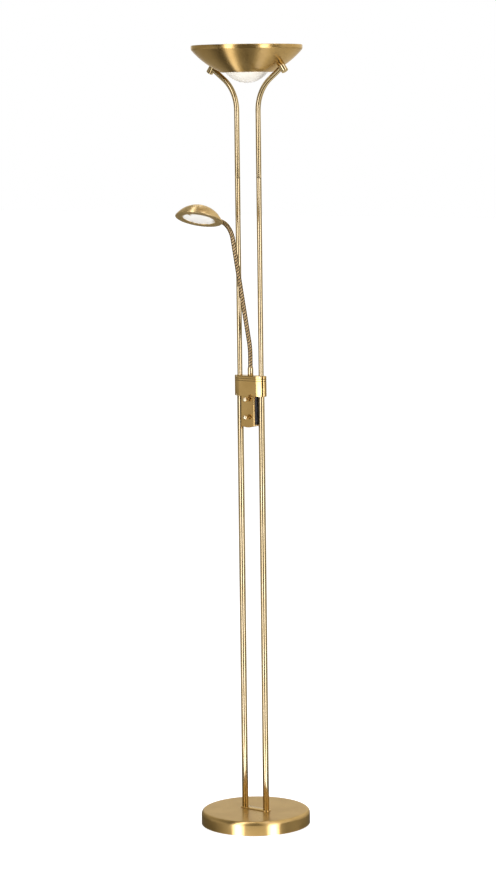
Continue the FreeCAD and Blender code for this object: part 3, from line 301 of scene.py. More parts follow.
def tree_of(maker):
    """Each tree is made once."""
    label = maker.__name__
    if label not in TREES:
        TREES[label] = maker()
    return TREES[label]


def mesh_from(maker, carrier, values):
    """Runs a tree on a carrier object and returns the result as a plain mesh."""
    tree = tree_of(maker)
    bpy.context.scene.collection.objects.link(carrier)
    modifier = carrier.modifiers.new("shape", "NODES")
    modifier.node_group = tree
    for item in tree.interface.items_tree:
        if item.in_out == "INPUT" and item.name in values:
            modifier[item.identifier] = values[item.name]
    carrier.update_tag()
    bpy.context.view_layer.update()
    graph = bpy.context.evaluated_depsgraph_get()
    mesh = bpy.data.meshes.new_from_object(carrier.evaluated_get(graph))
    bpy.data.objects.remove(carrier)
    return mesh


def facing_out(mesh):
    """Turns a closed mesh's faces outward where its volume comes out negative."""
    shape = bmesh.new()
    shape.from_mesh(mesh)
    if shape.calc_volume(signed=True) < 0:
        bmesh.ops.reverse_faces(shape, faces=shape.faces)
        shape.to_mesh(mesh)
    shape.free()
    return mesh


def turned(points, material, steps, reference):
    """A turned form from a profile of (radius, height) points. The reference radius is where its
    map is true to size. All in millimetres."""
    mesh = bpy.data.meshes.new("profile")
    mesh.from_pydata([(r * MM, 0, z * MM) for r, z in points], [], [])
    run, total = [0.0], 0.0
    for (r0, z0), (r1, z1) in zip(points, points[1:]):
        total += math.hypot(r1 - r0, z1 - z0) * MM
        run.append(total)
    mesh.attributes.new("run", "FLOAT", "POINT").data.foreach_set("value", run)
    carrier = bpy.data.objects.new("profile", mesh)
    made = mesh_from(turned_tree, carrier, {
        "Steps": steps, "Reference radius": reference * MM, "Material": material})
    return facing_out(made)


def rounded(corners, radius, steps=4):
    """The profile with each inner corner rounded; a corner may carry its own radius."""
    result = [corners[0][:2]]
    for before, here, after in zip(corners, corners[1:], corners[2:]):
        size = here[2] if len(here) > 2 else radius
        point, back = Vector(here[:2]), Vector(before[:2]) - Vector(here[:2])
        ahead = Vector(after[:2]) - point
        angle = back.angle(ahead)
        if size <= 0 or abs(angle - math.pi) < 0.05:
            result.append(here[:2])
            continue
        cut = min(size / math.tan(angle / 2), back.length * 0.49, ahead.length * 0.49)
        size = cut * math.tan(angle / 2)
        centre = point + (back.normalized() + ahead.normalized()).normalized() * (
            size / math.sin(angle / 2))
        start, end = point + back.normalized() * cut, point + ahead.normalized() * cut
        first = math.atan2(*(start - centre).yx)
        turn = math.atan2(*(end - centre).yx) - first
        turn = (turn + math.pi) % math.tau - math.pi
        for step in range(steps + 1):
            at = first + turn * step / steps
            result.append((centre.x + size * math.cos(at), centre.y + size * math.sin(at)))
    result.append(corners[-1][:2])
    return result


def arc(centre, radius, first, last, steps):
    """Points of an arc between two angles in degrees."""
    angles = [math.radians(first + (last - first) * i / steps) for i in range(steps + 1)]
    return [(centre[0] + radius * math.cos(a), centre[1] + radius * math.sin(a))
            for a in angles]


def piece(name, mesh, body, stands_for, place=None, sharp=35.0):
    """Puts a finished mesh into the scene at its place and on its body, and hides the nodes
    that it stands for."""
    mesh.name = name
    if place is not None:
        mesh.transform(place)
    mesh.shade_smooth()
    mesh.set_sharp_from_angle(angle=math.radians(sharp))
    made = bpy.data.objects.new(name, mesh)
    bpy.context.scene.collection.objects.link(made)
    if body is not None:
        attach(made, body)
    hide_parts(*stands_for)
    return made


def polished(node, made_how, body, coat):
    """A node's own shape with its doubles merged, smooth faces and crisp edges."""
    mesh = frame["nodes"][node].data.copy()
    shape = bmesh.new()
    shape.from_mesh(mesh)
    bmesh.ops.remove_doubles(shape, verts=shape.verts, dist=1e-6)
    shape.to_mesh(mesh)
    shape.free()
    mesh.materials.clear()
    mesh.materials.append(finishes()[coat])
    flat = mesh.uv_layers.new(name="UVMap")
    for loop in mesh.loops:
        place = mesh.vertices[loop.vertex_index].co
        flat.data[loop.index].uv = (place.x + place.y, place.z)
    return piece("%s_%s" % (node, made_how), mesh, body, (node,), sharp=30.0)


# ---- materials ----
LACQUER, LACQUER_ROUGHNESS, LACQUER_IOR = 0.22, 0.15, 1.6
# The second colour below is painted shade, laid into the hose's grooves.
GRAZING_TINT, PAINTED_GROOVE_SHADE = "#F9EDCB", "#33240F"
GROOVE_SHADE_DIPS = (0.05, 0.45)     # between a hose's bright winding and its dark groove
CLOUD_MM = 45.0                 # from one cloud of the brass's toning to the next


def new_material(name):
    """An empty node material, its tree and its shader."""
    material = bpy.data.materials.new(name)
    material.use_nodes = True
    return material, material.node_tree, material.node_tree.nodes["Principled BSDF"]


def toned(tree, colour, darker, scale_mm, coordinates):
    """Slow cloudy change between two tones of a finish."""
    cloud = add(tree, "ShaderNodeTexNoise", {
        "Vector": coordinates, "Scale": 1 / (scale_mm * MM), "Detail": 2.0, "Roughness": 0.45})
    spread = add(tree, "ShaderNodeMapRange", {"Value": cloud, "From Min": 0.35, "From Max": 0.7})
    return add(tree, MIX, {FACTOR: spread, FIRST: darker, SECOND: colour}, **COLOURS)


def brass(name, roughness, anisotropy, around_mm=18.0, across_mm=0.5, bump=0.06, dip=None,
          tones=None):
    """Satin antique brass: brass plate brushed round the piece with a fine belt, toned and
    lacquered. The brushing draws its highlights out across the scratches, along the piece's
    own V, and the lacquer lays a pale, sharper gloss on top. The scratches are about 0.05 mm
    wide in fact and are drawn coarser, so that a near view still shows them. Seen at a low
    angle brass keeps a warm tint."""
    finish = bpy.context.scene.torchiere_finishes
    material, tree, shader = new_material(name)
    uv = add(tree, "ShaderNodeUVMap", uv_map="UVMap")
    body = add(tree, "ShaderNodeTexCoord", output="Object")
    scratches = add(tree, "ShaderNodeMapping", {
        "Vector": uv, "Scale": (1 / (around_mm * MM), 1 / (across_mm * MM), 1.0)})
    grain = add(tree, "ShaderNodeTexNoise", {
        "Vector": scratches, "Scale": 1.0, "Detail": 3.0, "Roughness": 0.6})
    light, dark = [linear(tone) for tone in tones] if tones else (finish.brass, finish.brass_dark)
    colour = toned(tree, light, dark, CLOUD_MM, body)
    # Painted shade: where dip is given, the colour darkens towards the groove shade deep in the
    # grooves.
    if dip:
        depth = add(tree, "ShaderNodeAttribute", output="Fac", attribute_name=dip)
        shade = add(tree, "ShaderNodeMapRange", {
            "Value": depth, "From Min": GROOVE_SHADE_DIPS[0], "From Max": GROOVE_SHADE_DIPS[1]})
        colour = add(tree, MIX, {
            FACTOR: shade, FIRST: colour, SECOND: linear(PAINTED_GROOVE_SHADE)}, **COLOURS)
    rough = add(tree, "ShaderNodeMapRange", {
        "Value": grain, "From Min": 0.3, "From Max": 0.7, "To Min": roughness * 0.9,
        "To Max": roughness * 1.1})
    feed(tree, shader, {
        "Base Color": colour, "Roughness": rough, "Metallic": 1.0,
        "Specular Tint": linear(GRAZING_TINT), "Coat Weight": LACQUER,
        "Coat Roughness": LACQUER_ROUGHNESS, "Coat IOR": LACQUER_IOR})
    if bump:
        feed(tree, shader, {"Normal": add(tree, "ShaderNodeBump", {
            "Height": grain, "Strength": bump, "Distance": 0.05 * MM})})
    if anisotropy:
        feed(tree, shader, {
            "Anisotropic": anisotropy, "Anisotropic Rotation": 0.25,
            "Tangent": add(tree, "ShaderNodeTangent", direction_type="UV_MAP", uv_map="UVMap")})
    return material


def grained(name, light, dark, grain_mm, roughness, bump, metallic=0.0, sheen=0.0):
    """A material with a fine random grain in tone, gloss and relief."""
    material, tree, shader = new_material(name)
    body = add(tree, "ShaderNodeTexCoord", output="Object")
    grain = add(tree, "ShaderNodeTexNoise", {
        "Vector": body, "Scale": 1 / (grain_mm * MM), "Detail": 4.0})
    tone = add(tree, MIX, {FACTOR: grain, FIRST: dark, SECOND: light}, **COLOURS)
    rough = add(tree, "ShaderNodeMapRange", {
        "Value": grain, "To Min": roughness * 0.8, "To Max": min(1.0, roughness * 1.2)})
    relief = add(tree, "ShaderNodeBump", {
        "Height": grain, "Strength": bump, "Distance": grain_mm * MM * 0.3})
    feed(tree, shader, {
        "Base Color": tone, "Roughness": rough, "Normal": relief, "Metallic": metallic,
        "Sheen Weight": sheen})
    return material


def opal_glass(name, colour, haze_colour):
    """Opal glass, satined inside: milky, soft-edged, with a glossy outer skin."""
    material, tree, shader = new_material(name)
    body = add(tree, "ShaderNodeTexCoord", output="Object")
    haze = add(tree, "ShaderNodeTexNoise", {
        "Vector": body, "Scale": 1 / (25 * MM), "Detail": 2.0})
    milk = add(tree, MIX, {FACTOR: haze, FIRST: haze_colour, SECOND: colour}, **COLOURS)
    ripple = add(tree, "ShaderNodeBump", {
        "Height": haze, "Strength": 0.05, "Distance": 0.5 * MM})
    feed(tree, shader, {"Base Color": milk, "Roughness": 0.4, "IOR": 1.5, "Normal": ripple})
    return material


def quartz_glass():
    """Quartz glass of the lamps: clear, hard and smooth."""
    material, tree, shader = new_material("quartz_glass_clear")
    body = add(tree, "ShaderNodeTexCoord", output="Object")
    wave = add(tree, "ShaderNodeTexNoise", {
        "Vector": body, "Scale": 1 / (6 * MM), "Detail": 1.0})
    ripple = add(tree, "ShaderNodeBump", {
        "Height": wave, "Strength": 0.04, "Distance": 0.3 * MM})
    feed(tree, shader, {
        "Base Color": linear("#F4F6F6"), "Roughness": 0.05, "IOR": 1.46,
        "Transmission Weight": 1.0, "Normal": ripple})
    return material


MATERIALS = {}


def finishes():
    """All the lamp's materials, made once."""
    if MATERIALS:
        return MATERIALS
    finish = bpy.context.scene.torchiere_finishes
    MATERIALS.update({
        # Spun base cover and bowl, brushed round: highlights stand as bands from edge to middle.
        "spun": brass("brass_spun_satin", 0.3, 0.85),
        # Drawn tubes and turned barrels: thin bright and dark stripes along them.
        "drawn": brass("brass_tube_satin", 0.15, 0.6, 8.0, 0.6, 0.0, tones=("#BAA375", "#AE9665")),
        # Pressed plate of collar, foot plate and dimmer cover: a flat, even sheen.
        "plate": brass("brass_plate_satin", 0.2, 0.5, 8.0, 0.6, 0.0),
        # Dome and ring of the reading head, brushed only lightly: broad soft highlights.
        # Their tones, paler than the other brass, are painted light that brightens the ring, which
        # faces down.
        "domed": brass("brass_spun_soft", 0.34, 0.3, bump=0.03, tones=("#CDAE72", "#C0A064")),
        # Wound hose: bright windings, with painted shade darkening the grooves between them.
        "hose": brass("brass_hose_satin", 0.25, 0.0, 2.0, 0.6, 0.0, "dip",
                      ("#A88B58", "#977949")),
        # Painted shade in the collar's two grooves: thin dark, dull lines.
        "groove": grained("brass_groove_painted_shade", linear("#6B5330"), linear("#4E3B20"), 1.0,
                          0.45, 0.1, metallic=1.0),
        # Knobs, clips and other small turned pieces, polished: small pale highlights.
        # Their tones, paler than the toned brass, are partly the polish and partly painted light that
        # brightens the knobs' domes.
        "small": brass("brass_polished_small", 0.28, 0.0, 2.0, 0.6, 0.0,
                       tones=("#D3BE92", "#C6AF82")),
        # Pressed opal glass of the reading head, white, and the blown dish's, which is creamier.
        "opal": opal_glass("opal_glass_pressed", finish.opal, linear("#E6E3DC")),
        "cream": opal_glass("opal_glass_blown", finish.dish, linear("#DAD5CA")),
        # The halogen lamp's tube.
        "clear": quartz_glass(),
        # ABS, moulded in a spark-eroded tool: nearly black and dull.
        # On the dimmer body this black is partly painted shade, standing in for the shade on its side
        # beside the right stem.
        "black": grained("abs_black_moulded", finish.moulding, linear("#191817"), 0.5, 0.75, 0.2),
        # Steel with a zinc plating: cool grey with a faint mottle.
        "zinc": grained("steel_zinc_plated", linear("#B9BDBF"), linear("#9A9FA2"), 2.0, 0.35, 0.1,
                        metallic=1.0),
        # Iron from a sand mould: dark and rough.
        "iron": grained("iron_sand_cast", linear("#3B3A38"), linear("#242322"), 1.5, 0.7, 0.5,
                        metallic=1.0),
        # Steatite of the lamp holders, unglazed: off-white and matt.
        "ceramic": grained("steatite_unglazed", linear("#EFECE4"), linear("#E2DED3"), 1.0, 0.6,
                           0.15),
        # Wool felt under the base, pressed: black with a soft nap.
        "felt": grained("felt_pressed_black", linear("#2A2A2C"), linear("#151516"), 0.8, 0.95, 0.6,
                        sheen=0.4),
        # Glass-fibre laminate under a green lacquer.
        "board": grained("circuit_board_lacquered", linear("#2F6B45"), linear("#245537"), 3.0,
                         0.4, 0.1),
    })
    return MATERIALS


NODE_FINISHES = {
    "brass_finish": "small", "iron": "iron", "zinc_steel": "zinc", "black_plastic": "black",
    "circuit_board": "board", "felt": "felt", "opal_glass": "opal", "clear_glass": "clear",
    "white_ceramic": "ceramic"}


# ---- the gooseneck's line ----
def neck_segments():
    """The gooseneck's straight runs and bends: length, radius and turn in degrees."""
    upper_turn = NECK_END_ANGLE - NECK_LEAN
    return [(NECK_RISE, 0.0, 0.0),
            (NECK_LOWER_BEND * math.radians(NECK_LEAN), NECK_LOWER_BEND, NECK_LEAN),
            (NECK_RUN, 0.0, 0.0),
            (NECK_UPPER_BEND * math.radians(upper_turn), NECK_UPPER_BEND, upper_turn)]


def bent_path(name, start, heading, side, segments):
    """A path of straight runs and arcs as one Bezier spline. Each arc turns from heading
    towards side, in four parts with the handles that make it round."""
    parts = 4
    place, direction, towards = Vector(start), Vector(heading), Vector(side)
    knots = [[place.copy(), direction.copy(), 0.0, 0.0]]
    for length, radius, turn in segments:
        if radius:
            small = math.radians(turn) / parts
            handle = 4 / 3 * math.tan(small / 4) * radius
            for _ in range(parts):
                knots[-1][3] = handle
                place = place + (direction * math.sin(small)
                                 + towards * (1 - math.cos(small))) * radius
                direction, towards = (direction * math.cos(small) + towards * math.sin(small),
                                      towards * math.cos(small) - direction * math.sin(small))
                knots.append([place.copy(), direction.copy(), handle, 0.0])
        else:
            knots[-1][3] = length / 3
            place = place + direction * length
            knots.append([place.copy(), direction.copy(), length / 3, 0.0])
    data = bpy.data.curves.new(name, "CURVE")
    data.dimensions = "3D"
    data.resolution_u = 16
    spline = data.splines.new("BEZIER")
    spline.bezier_points.add(len(knots) - 1)
    for point, (at, way, back, ahead) in zip(spline.bezier_points, knots):
        point.handle_left_type = point.handle_right_type = "FREE"
        point.co = at * MM
        point.handle_left = (at - way * back) * MM
        point.handle_right = (at + way * ahead) * MM
    path = bpy.data.objects.new(name, data)
    bpy.context.scene.collection.objects.link(path)
    return path


def neck_point(length):
    """Place of the gooseneck's axis at a length from its seat, in metres."""
    place, angle = Vector((0, 0, NECK_SEAT)), 0.0
    for run, radius, turn in neck_segments():
        part = min(length, run)
        end = angle + math.radians(turn) * part / run
        if radius:
            place += Vector((0, math.cos(end) - math.cos(angle),
                             math.sin(end) - math.sin(angle))) * radius
        else:
            place += Vector((0, -math.sin(angle), math.cos(angle))) * part
        angle = end
        length -= part
    return place * MM


def swept(path, start, end, radius, material, normal, step, around, rib=(0.0, 5.0, 0.0)):
    """A round form along a path, between two lengths. rib has the ribs' height, pitch and
    starts. All in millimetres."""
    carrier = bpy.data.objects.new("sweep", bpy.data.meshes.new("sweep"))
    height, pitch, starts = rib
    mesh = mesh_from(swept_tree, carrier, {
        "Path": path, "Start": start * MM, "End": end * MM, "Radius": radius * MM,
        "Rib height": height * MM, "Rib pitch": pitch * MM, "Rib starts": starts,
        "Step": step * MM, "Steps around": around, "Normal": normal, "Material": material})
    return facing_out(mesh)


# ---- outlines of the foot plate and the collar ----
def stadium(half, radius, steps=20):
    """Points round an outline with flat front and back and round ends."""
    return arc((half, 0), radius, -90, 90, steps) + arc((-half, 0), radius, 90, 270, steps)


def cornered(half, radius, steps=10):
    """Points round the collar: flat front and back, a slanting corner, then a tight round end.
    The corners are those of an outline of COLLAR_RADIUS, moved in or out square to it."""
    first, last = (math.radians(angle) for angle in CORNER_ANGLES)
    tight = (COLLAR_RADIUS - CORNER_BEND * (1 - math.cos(first))
             - CORNER_SLANT * (math.cos(first) - math.cos(last))) / math.cos(last)
    x, y, before, quarter = half + COLLAR_RADIUS - tight, 0.0, tight, []
    for start, stop, bend in ((last, math.pi / 2, tight), (first, last, CORNER_SLANT),
                              (0.0, first, CORNER_BEND)):
        x += (before - bend) * math.sin(stop)
        y -= (before - bend) * math.cos(stop)
        reach, before = bend + radius - COLLAR_RADIUS, bend
        angles = [start + (stop - start) * i / steps for i in range(steps + 1)]
        points = [(x + reach * math.sin(angle), y - reach * math.cos(angle)) for angle in angles]
        quarter = points[:-1] + quarter if quarter else points
    half_round = quarter + [(x, -y) for x, y in reversed(quarter[:-1])]
    return half_round + [(-x, -y) for x, y in half_round]


def ringed(half, profile, closed, material, outline_of=stadium, dark=None, dark_levels=()):
    """A form whose cross-section, (radius, height) points, runs round an outline; the levels
    named dark get a material of their own."""
    rings = [[(x * MM, y * MM, z * MM) for x, y in outline_of(half, r)] for r, z in profile]
    count = len(rings[0])
    vertices = [v for one in rings for v in one]
    last = len(rings) if closed else len(rings) - 1
    faces = []
    for level in range(last):
        above = (level + 1) % len(rings)
        for i in range(count):
            j = (i + 1) % count
            faces.append((level * count + i, level * count + j, above * count + j,
                          above * count + i))
    if not closed:
        faces.append(tuple(reversed(range(count))))
        faces.append(tuple(range((len(rings) - 1) * count, len(rings) * count)))
    mesh = bpy.data.meshes.new("ringed")
    mesh.from_pydata(vertices, [], faces)
    flat = mesh.uv_layers.new(name="UVMap")
    run = [0.0]
    outline = outline_of(half, profile[0][0])
    for a, b in zip(outline, outline[1:] + outline[:1]):
        run.append(run[-1] + math.hypot(b[0] - a[0], b[1] - a[1]))
    for face in mesh.polygons:
        indices = [mesh.loops[i].vertex_index % count for i in face.loop_indices]
        wrap = max(indices) - min(indices) > count / 2
        for loop, index in zip(face.loop_indices, indices):
            vertex = mesh.vertices[mesh.loops[loop].vertex_index].co
            around = run[count] if wrap and index == 0 else run[index]
            flat.data[loop].uv = (around * MM, vertex.z)
    mesh.materials.append(material)
    if dark:
        mesh.materials.append(dark)
    for level in dark_levels:
        for face in mesh.polygons[level * count:(level + 1) * count]:
            face.material_index = 1
    return facing_out(mesh)


def side_centre(rim):
    """Centre of the bowl's side arc: from the foot it runs smoothly into the rim's turn."""
    dx = rim - BOWL_TURN - BOWL_FOOT_RADIUS
    dz = RIM_TOP - RIM_HEIGHT - FLANGE_BOTTOM
    chord = math.hypot(dx, dz)
    along = (BOWL_ARC ** 2 - (BOWL_ARC - BOWL_TURN) ** 2 + chord ** 2) / (2 * chord)
    away = math.sqrt(BOWL_ARC ** 2 - along ** 2)
    return (BOWL_FOOT_RADIUS + (along * dx - away * dz) / chord,
            FLANGE_BOTTOM + (along * dz + away * dx) / chord)


# ---- operators: one for each piece or group of like pieces ----
class LampStep:
    """What the operators share."""
    bl_options = {"REGISTER", "UNDO"}


class TORCHIERE_OT_inner_parts(LampStep, bpy.types.Operator):
    """Give the frame's own nodes their finishes"""
    bl_idname = "torchiere.inner_parts"
    bl_label = "Finish the frame's own parts"

    def execute(self, context):
        for node, made in frame["nodes"].items():
            made.data.materials.clear()
            made.data.materials.append(finishes()[NODE_FINISHES[SLOTS[node]]])
        return {"FINISHED"}


class TORCHIERE_OT_base(LampStep, bpy.types.Operator):
    """Spin the base cover and lay the foot plate on it"""
    bl_idname = "torchiere.base"
    bl_label = "Base"

    def execute(self, context):
        sizes, finish = context.scene.torchiere_sizes, finishes()
        radius, height = sizes.base_radius / MM, sizes.base_height / MM
        inner = radius - BASE_WALL
        cover = rounded([
            (0, height), (radius, height, BASE_EDGE), (radius, BASE_LIFT, BASE_HEM),
            (inner, BASE_LIFT, BASE_HEM), (inner, height - BASE_WALL, BASE_EDGE - BASE_WALL),
            (0, height - BASE_WALL)], BASE_HEM, 10)
        rings = [(radius * ring / BASE_TOP_RINGS, height) for ring in range(BASE_TOP_RINGS - 1)]
        mesh = turned(rings + cover[1:], finish["spun"], BASE_STEPS, radius / 2)
        piece("base_cover_spun", mesh, "stand", ("base_cover",))

        foot = LOWER_RADIUS + FOOT_PLATE_MARGIN
        top = height + FOOT_PLATE_THICKNESS
        profile = [(foot - FOOT_PLATE_HEM, height), (foot, height + FOOT_PLATE_HEM)]
        profile += [(foot - inset, top - drop) for inset, drop in FOOT_PLATE_EDGE]
        plate = ringed(sizes.stem_spacing / MM / 2, profile, False, finish["plate"])
        piece("foot_plate_brushed", plate, "stand", ("foot_plate",))
        return {"FINISHED"}


class TORCHIERE_OT_stems(LampStep, bpy.types.Operator):
    """Draw the two lower tubes"""
    bl_idname = "torchiere.stems"
    bl_label = "Lower tubes"

    def execute(self, context):
        sizes, finish = context.scene.torchiere_sizes, finishes()
        bottom = sizes.base_height / MM + FOOT_PLATE_THICKNESS
        bore = LOWER_RADIUS - LOWER_WALL
        profile = rounded([
            (bore, bottom), (LOWER_RADIUS, bottom), (LOWER_RADIUS, LOWER_TUBE_TOP),
            (bore, LOWER_TUBE_TOP), (bore, bottom)], SHEET_EDGE, 2)
        for side, sign in (("left", -1), ("right", 1)):
            mesh = turned(profile, finish["drawn"], SMALL_STEPS, LOWER_RADIUS)
            place = Matrix.Translation((sign * sizes.stem_spacing / 2, 0, 0))
            name = "lower_tube_" + side
            piece(name + "_drawn", mesh, "stand", (name,), place)
        return {"FINISHED"}


class TORCHIERE_OT_arms(LampStep, bpy.types.Operator):
    """Bend the two upper tubes out to their barrels"""
    bl_idname = "torchiere.arms"
    bl_label = "Upper tubes and barrels"

    def execute(self, context):
        sizes, finish = context.scene.torchiere_sizes, finishes()
        half, rim = sizes.stem_spacing / MM / 2, sizes.bowl_radius / MM
        barrel_out = rim - BARREL_INSET
        side_x, side_z = side_centre(rim)
        reach = BOWL_ARC + BARREL_LENGTH / 2
        turn = math.acos((barrel_out - side_x) / reach)
        middle_z = side_z - reach * math.sin(turn)
        bend_out = ARM_BEND * (1 - math.cos(turn))
        slant = (barrel_out - half - bend_out) / math.sin(turn)
        bend_start = middle_z - slant * math.cos(turn) - ARM_BEND * math.sin(turn)
        rise, end = bend_start - UPPER_TUBE_BOTTOM, slant - ARM_END_INSIDE
        for side, sign in (("left", -1), ("right", 1)):
            path = bent_path("arm", (sign * half, 0, UPPER_TUBE_BOTTOM), (0, 0, 1), (sign, 0, 0),
                             [(rise, 0, 0), (0, ARM_BEND, math.degrees(turn)), (end, 0, 0)])
            mesh = swept(path, 0.0, rise + ARM_BEND * turn + end, UPPER_RADIUS, finish["drawn"],
                         (0, 1, 0), ARM_STEP, ARM_STEPS_AROUND)
            bpy.data.objects.remove(path)
            name = "upper_tube_" + side
            piece(name + "_bent", mesh, "stand", (name,))

            outward = Vector((sign * math.cos(turn), 0, -math.sin(turn)))
            top, low = -BARREL_LENGTH / 2 - BARREL_PROUD, BARREL_LENGTH / 2
            barrel = turned(rounded([
                (0, top), (BARREL_RADIUS, top), (BARREL_RADIUS, low), (0, low)], BARREL_EDGE, 4),
                finish["drawn"], SMALL_STEPS, BARREL_RADIUS)
            seat = Vector((sign * barrel_out, 0, middle_z)) * MM
            place = Matrix.Translation(seat) @ outward.to_track_quat("Z", "Y").to_matrix().to_4x4()
            piece("barrel_%s_turned" % side, barrel, "stand", ("barrel_" + side,), place)
        return {"FINISHED"}


class TORCHIERE_OT_collar(LampStep, bpy.types.Operator):
    """Form the collar sleeve with its two grooves"""
    bl_idname = "torchiere.collar"
    bl_label = "Collar"

    def execute(self, context):
        sizes, finish = context.scene.torchiere_sizes, finishes()
        inner, deep = COLLAR_RADIUS - COLLAR_WALL, COLLAR_RADIUS - GROOVE_DEPTH
        profile = [(inner, COLLAR_BOTTOM)]
        profile += [(COLLAR_RADIUS - inset, COLLAR_BOTTOM + drop) for inset, drop in COLLAR_EDGE]
        for drop in reversed(GROOVE_DROPS):
            low, high = (COLLAR_TOP - drop + side * GROOVE_WIDTH / 2 for side in (-1, 1))
            profile += [(COLLAR_RADIUS, low), (deep, low + GROOVE_FLANK),
                        (deep, high - GROOVE_FLANK), (COLLAR_RADIUS, high)]
        profile += [(COLLAR_RADIUS - inset, COLLAR_TOP - drop)
                    for inset, drop in reversed(COLLAR_EDGE)]
        profile.append((inner, COLLAR_TOP))
        # The grooves' faces take the dark groove material, which is painted shade.
        mesh = ringed(sizes.stem_spacing / MM / 2, profile, True, finish["plate"], cornered,
                      finish["groove"], GROOVE_LEVELS)
        piece("collar_sleeve_formed", mesh, "stand", ("collar_sleeve",))
        return {"FINISHED"}


class TORCHIERE_OT_dimmer(LampStep, bpy.types.Operator):
    """Fit the dimmer's cover, body and two knobs"""
    bl_idname = "torchiere.dimmer"
    bl_label = "Dimmer and knobs"

    def execute(self, context):
        finish = finishes()
        polished("dimmer_cover", "formed", "stand", "plate")
        # The body's black side beside the right stem is partly painted shade.
        polished("dimmer_body", "moulded", "stand", "black")
        ball = (KNOB_RADIUS ** 2 + KNOB_CROWN ** 2) / (2 * KNOB_CROWN)
        half = math.degrees(math.asin(KNOB_RADIUS / ball))
        cap = arc((0, KNOB_END - ball), ball, 90 - half, 90, 10)
        profile = rounded([
            (0, KNOB_START), (KNOB_NECK_RADIUS, KNOB_START), (KNOB_NECK_RADIUS, KNOB_NECK_END),
            (KNOB_RADIUS, KNOB_NECK_END), (KNOB_RADIUS, KNOB_SIDE), cap[0]], KNOB_EDGE, 3)
        for level, height in KNOB_HEIGHTS.items():
            mesh = turned(profile + cap[1:], finish["small"], SMALL_STEPS, KNOB_RADIUS)
            place = Matrix.Translation((0, FRONT * MM, height * MM)) @ Matrix.Rotation(
                math.radians(90), 4, "X")
            piece("knob_%s_turned" % level, mesh, "knob_" + level, ("knob_" + level,), place)
        return {"FINISHED"}


class TORCHIERE_OT_gooseneck(LampStep, bpy.types.Operator):
    """Wind the ribbed hose and turn its ferrule"""
    bl_idname = "torchiere.gooseneck"
    bl_label = "Gooseneck"

    def execute(self, context):
        sizes, finish = context.scene.torchiere_sizes, finishes()
        segments = neck_segments()
        total = sum(length for length, _, _ in segments)
        link = (total - NECK_FOOT) / NECK_LINKS
        path = bent_path("neck", (0, 0, NECK_SEAT), (0, 0, 1), (0, -1, 0), segments)
        rib = (sizes.rib_height / MM, sizes.rib_pitch / MM, HOSE_STARTS)
        for number in range(1, NECK_LINKS + 1):
            joint = NECK_FOOT + (number - 1) * link
            start = 0.0 if number == 1 else joint - link / 2
            end = total if number == NECK_LINKS else joint + link / 2
            mesh = swept(path, start, end, sizes.hose_radius / MM, finish["hose"], (1, 0, 0),
                         HOSE_STEP, HOSE_STEPS_AROUND, rib)
            nodes = ["neck_link_%d" % number] + (["neck_foot"] if number == 1 else [])
            made = piece("hose_section_%d" % number, mesh, None, nodes, sharp=60.0)
            before, after = (neck_point(joint + way * link * BLEND_SHARE) for way in (-1, 1))
            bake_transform(made)
        bpy.data.objects.remove(path)

        low, high = COLLAR_TOP, COLLAR_TOP + FERRULE_HEIGHT
        profile = rounded([
            (FERRULE_BORE, low), (FERRULE_RADIUS, low), (FERRULE_RADIUS, high - FERRULE_TAPER),
            (FERRULE_MOUTH, high), (FERRULE_UPPER_BORE, high),
            (FERRULE_UPPER_BORE, low + FERRULE_STEP[1]), (FERRULE_BORE, low + FERRULE_STEP[0]),
            (FERRULE_BORE, low)], SMALL_EDGE, 3)
        mesh = turned(profile, finish["drawn"], SMALL_STEPS, FERRULE_RADIUS)
        piece("neck_ferrule_turned", mesh, "stand", ("neck_ferrule",))
        return {"FINISHED"}


class TORCHIERE_OT_reading_head(LampStep, bpy.types.Operator):
    """Spin the reading head's dome and fit its ring, glass and clips"""
    bl_idname = "torchiere.reading_head"
    bl_label = "Reading head"

    def execute(self, context):
        sizes, finish = context.scene.torchiere_sizes, finishes()
        radius = sizes.head_radius / MM
        sphere = (radius ** 2 + HEAD_DOME ** 2) / (2 * HEAD_DOME)
        drop = sphere - HEAD_DOME
        inner = sphere - HEAD_WALL
        wide = math.degrees(math.asin(drop / sphere))
        wide_inside = math.degrees(math.asin(drop / inner))
        place = (Matrix.Translation(Vector(HEAD_CENTRE) * MM)
                 @ Matrix.Rotation(math.radians(-HEAD_TILT), 4, "X")
                 @ Matrix.Rotation(math.radians(HEAD_ROLL), 4, "Y"))
        shell = (arc((0, -drop), sphere, 90, wide, 32)
                 + arc((0, -drop), inner, wide_inside, 90, 32))
        ring = rounded([
            (BEZEL_OPENING, 0), (BEZEL_OPENING, -BEZEL_THICKNESS),
            (radius, -BEZEL_THICKNESS, BEZEL_EDGE), (radius, 0)]
            + [(radius - inset, height) for inset, height in BEZEL_LIP]
            + [(BEZEL_OPENING, 0)], BEZEL_HEM, 3)
        disc = rounded([(0, 0), (GLASS_RADIUS, 0), (GLASS_RADIUS, GLASS_THICKNESS),
                        (0, GLASS_THICKNESS)], GLASS_EDGE, 3)
        for name, node, profile, coat, steps, reference in (
                ("head_shell_spun", "head_shell", shell, "domed", HEAD_STEPS, radius / 2),
                ("head_ring_turned", "head_bezel", ring, "domed", HEAD_STEPS, radius),
                ("head_glass_opal", "head_glass", disc, "opal", GLASS_STEPS, GLASS_MAP_RADIUS)):
            mesh = turned(profile, finish[coat], steps, reference)
            piece(name, mesh, "reading_head", (node,), place)
        polished("glass_clips", "sprung", "reading_head", "small")
        polished("head_socket", "turned", "reading_head", "small")
        return {"FINISHED"}


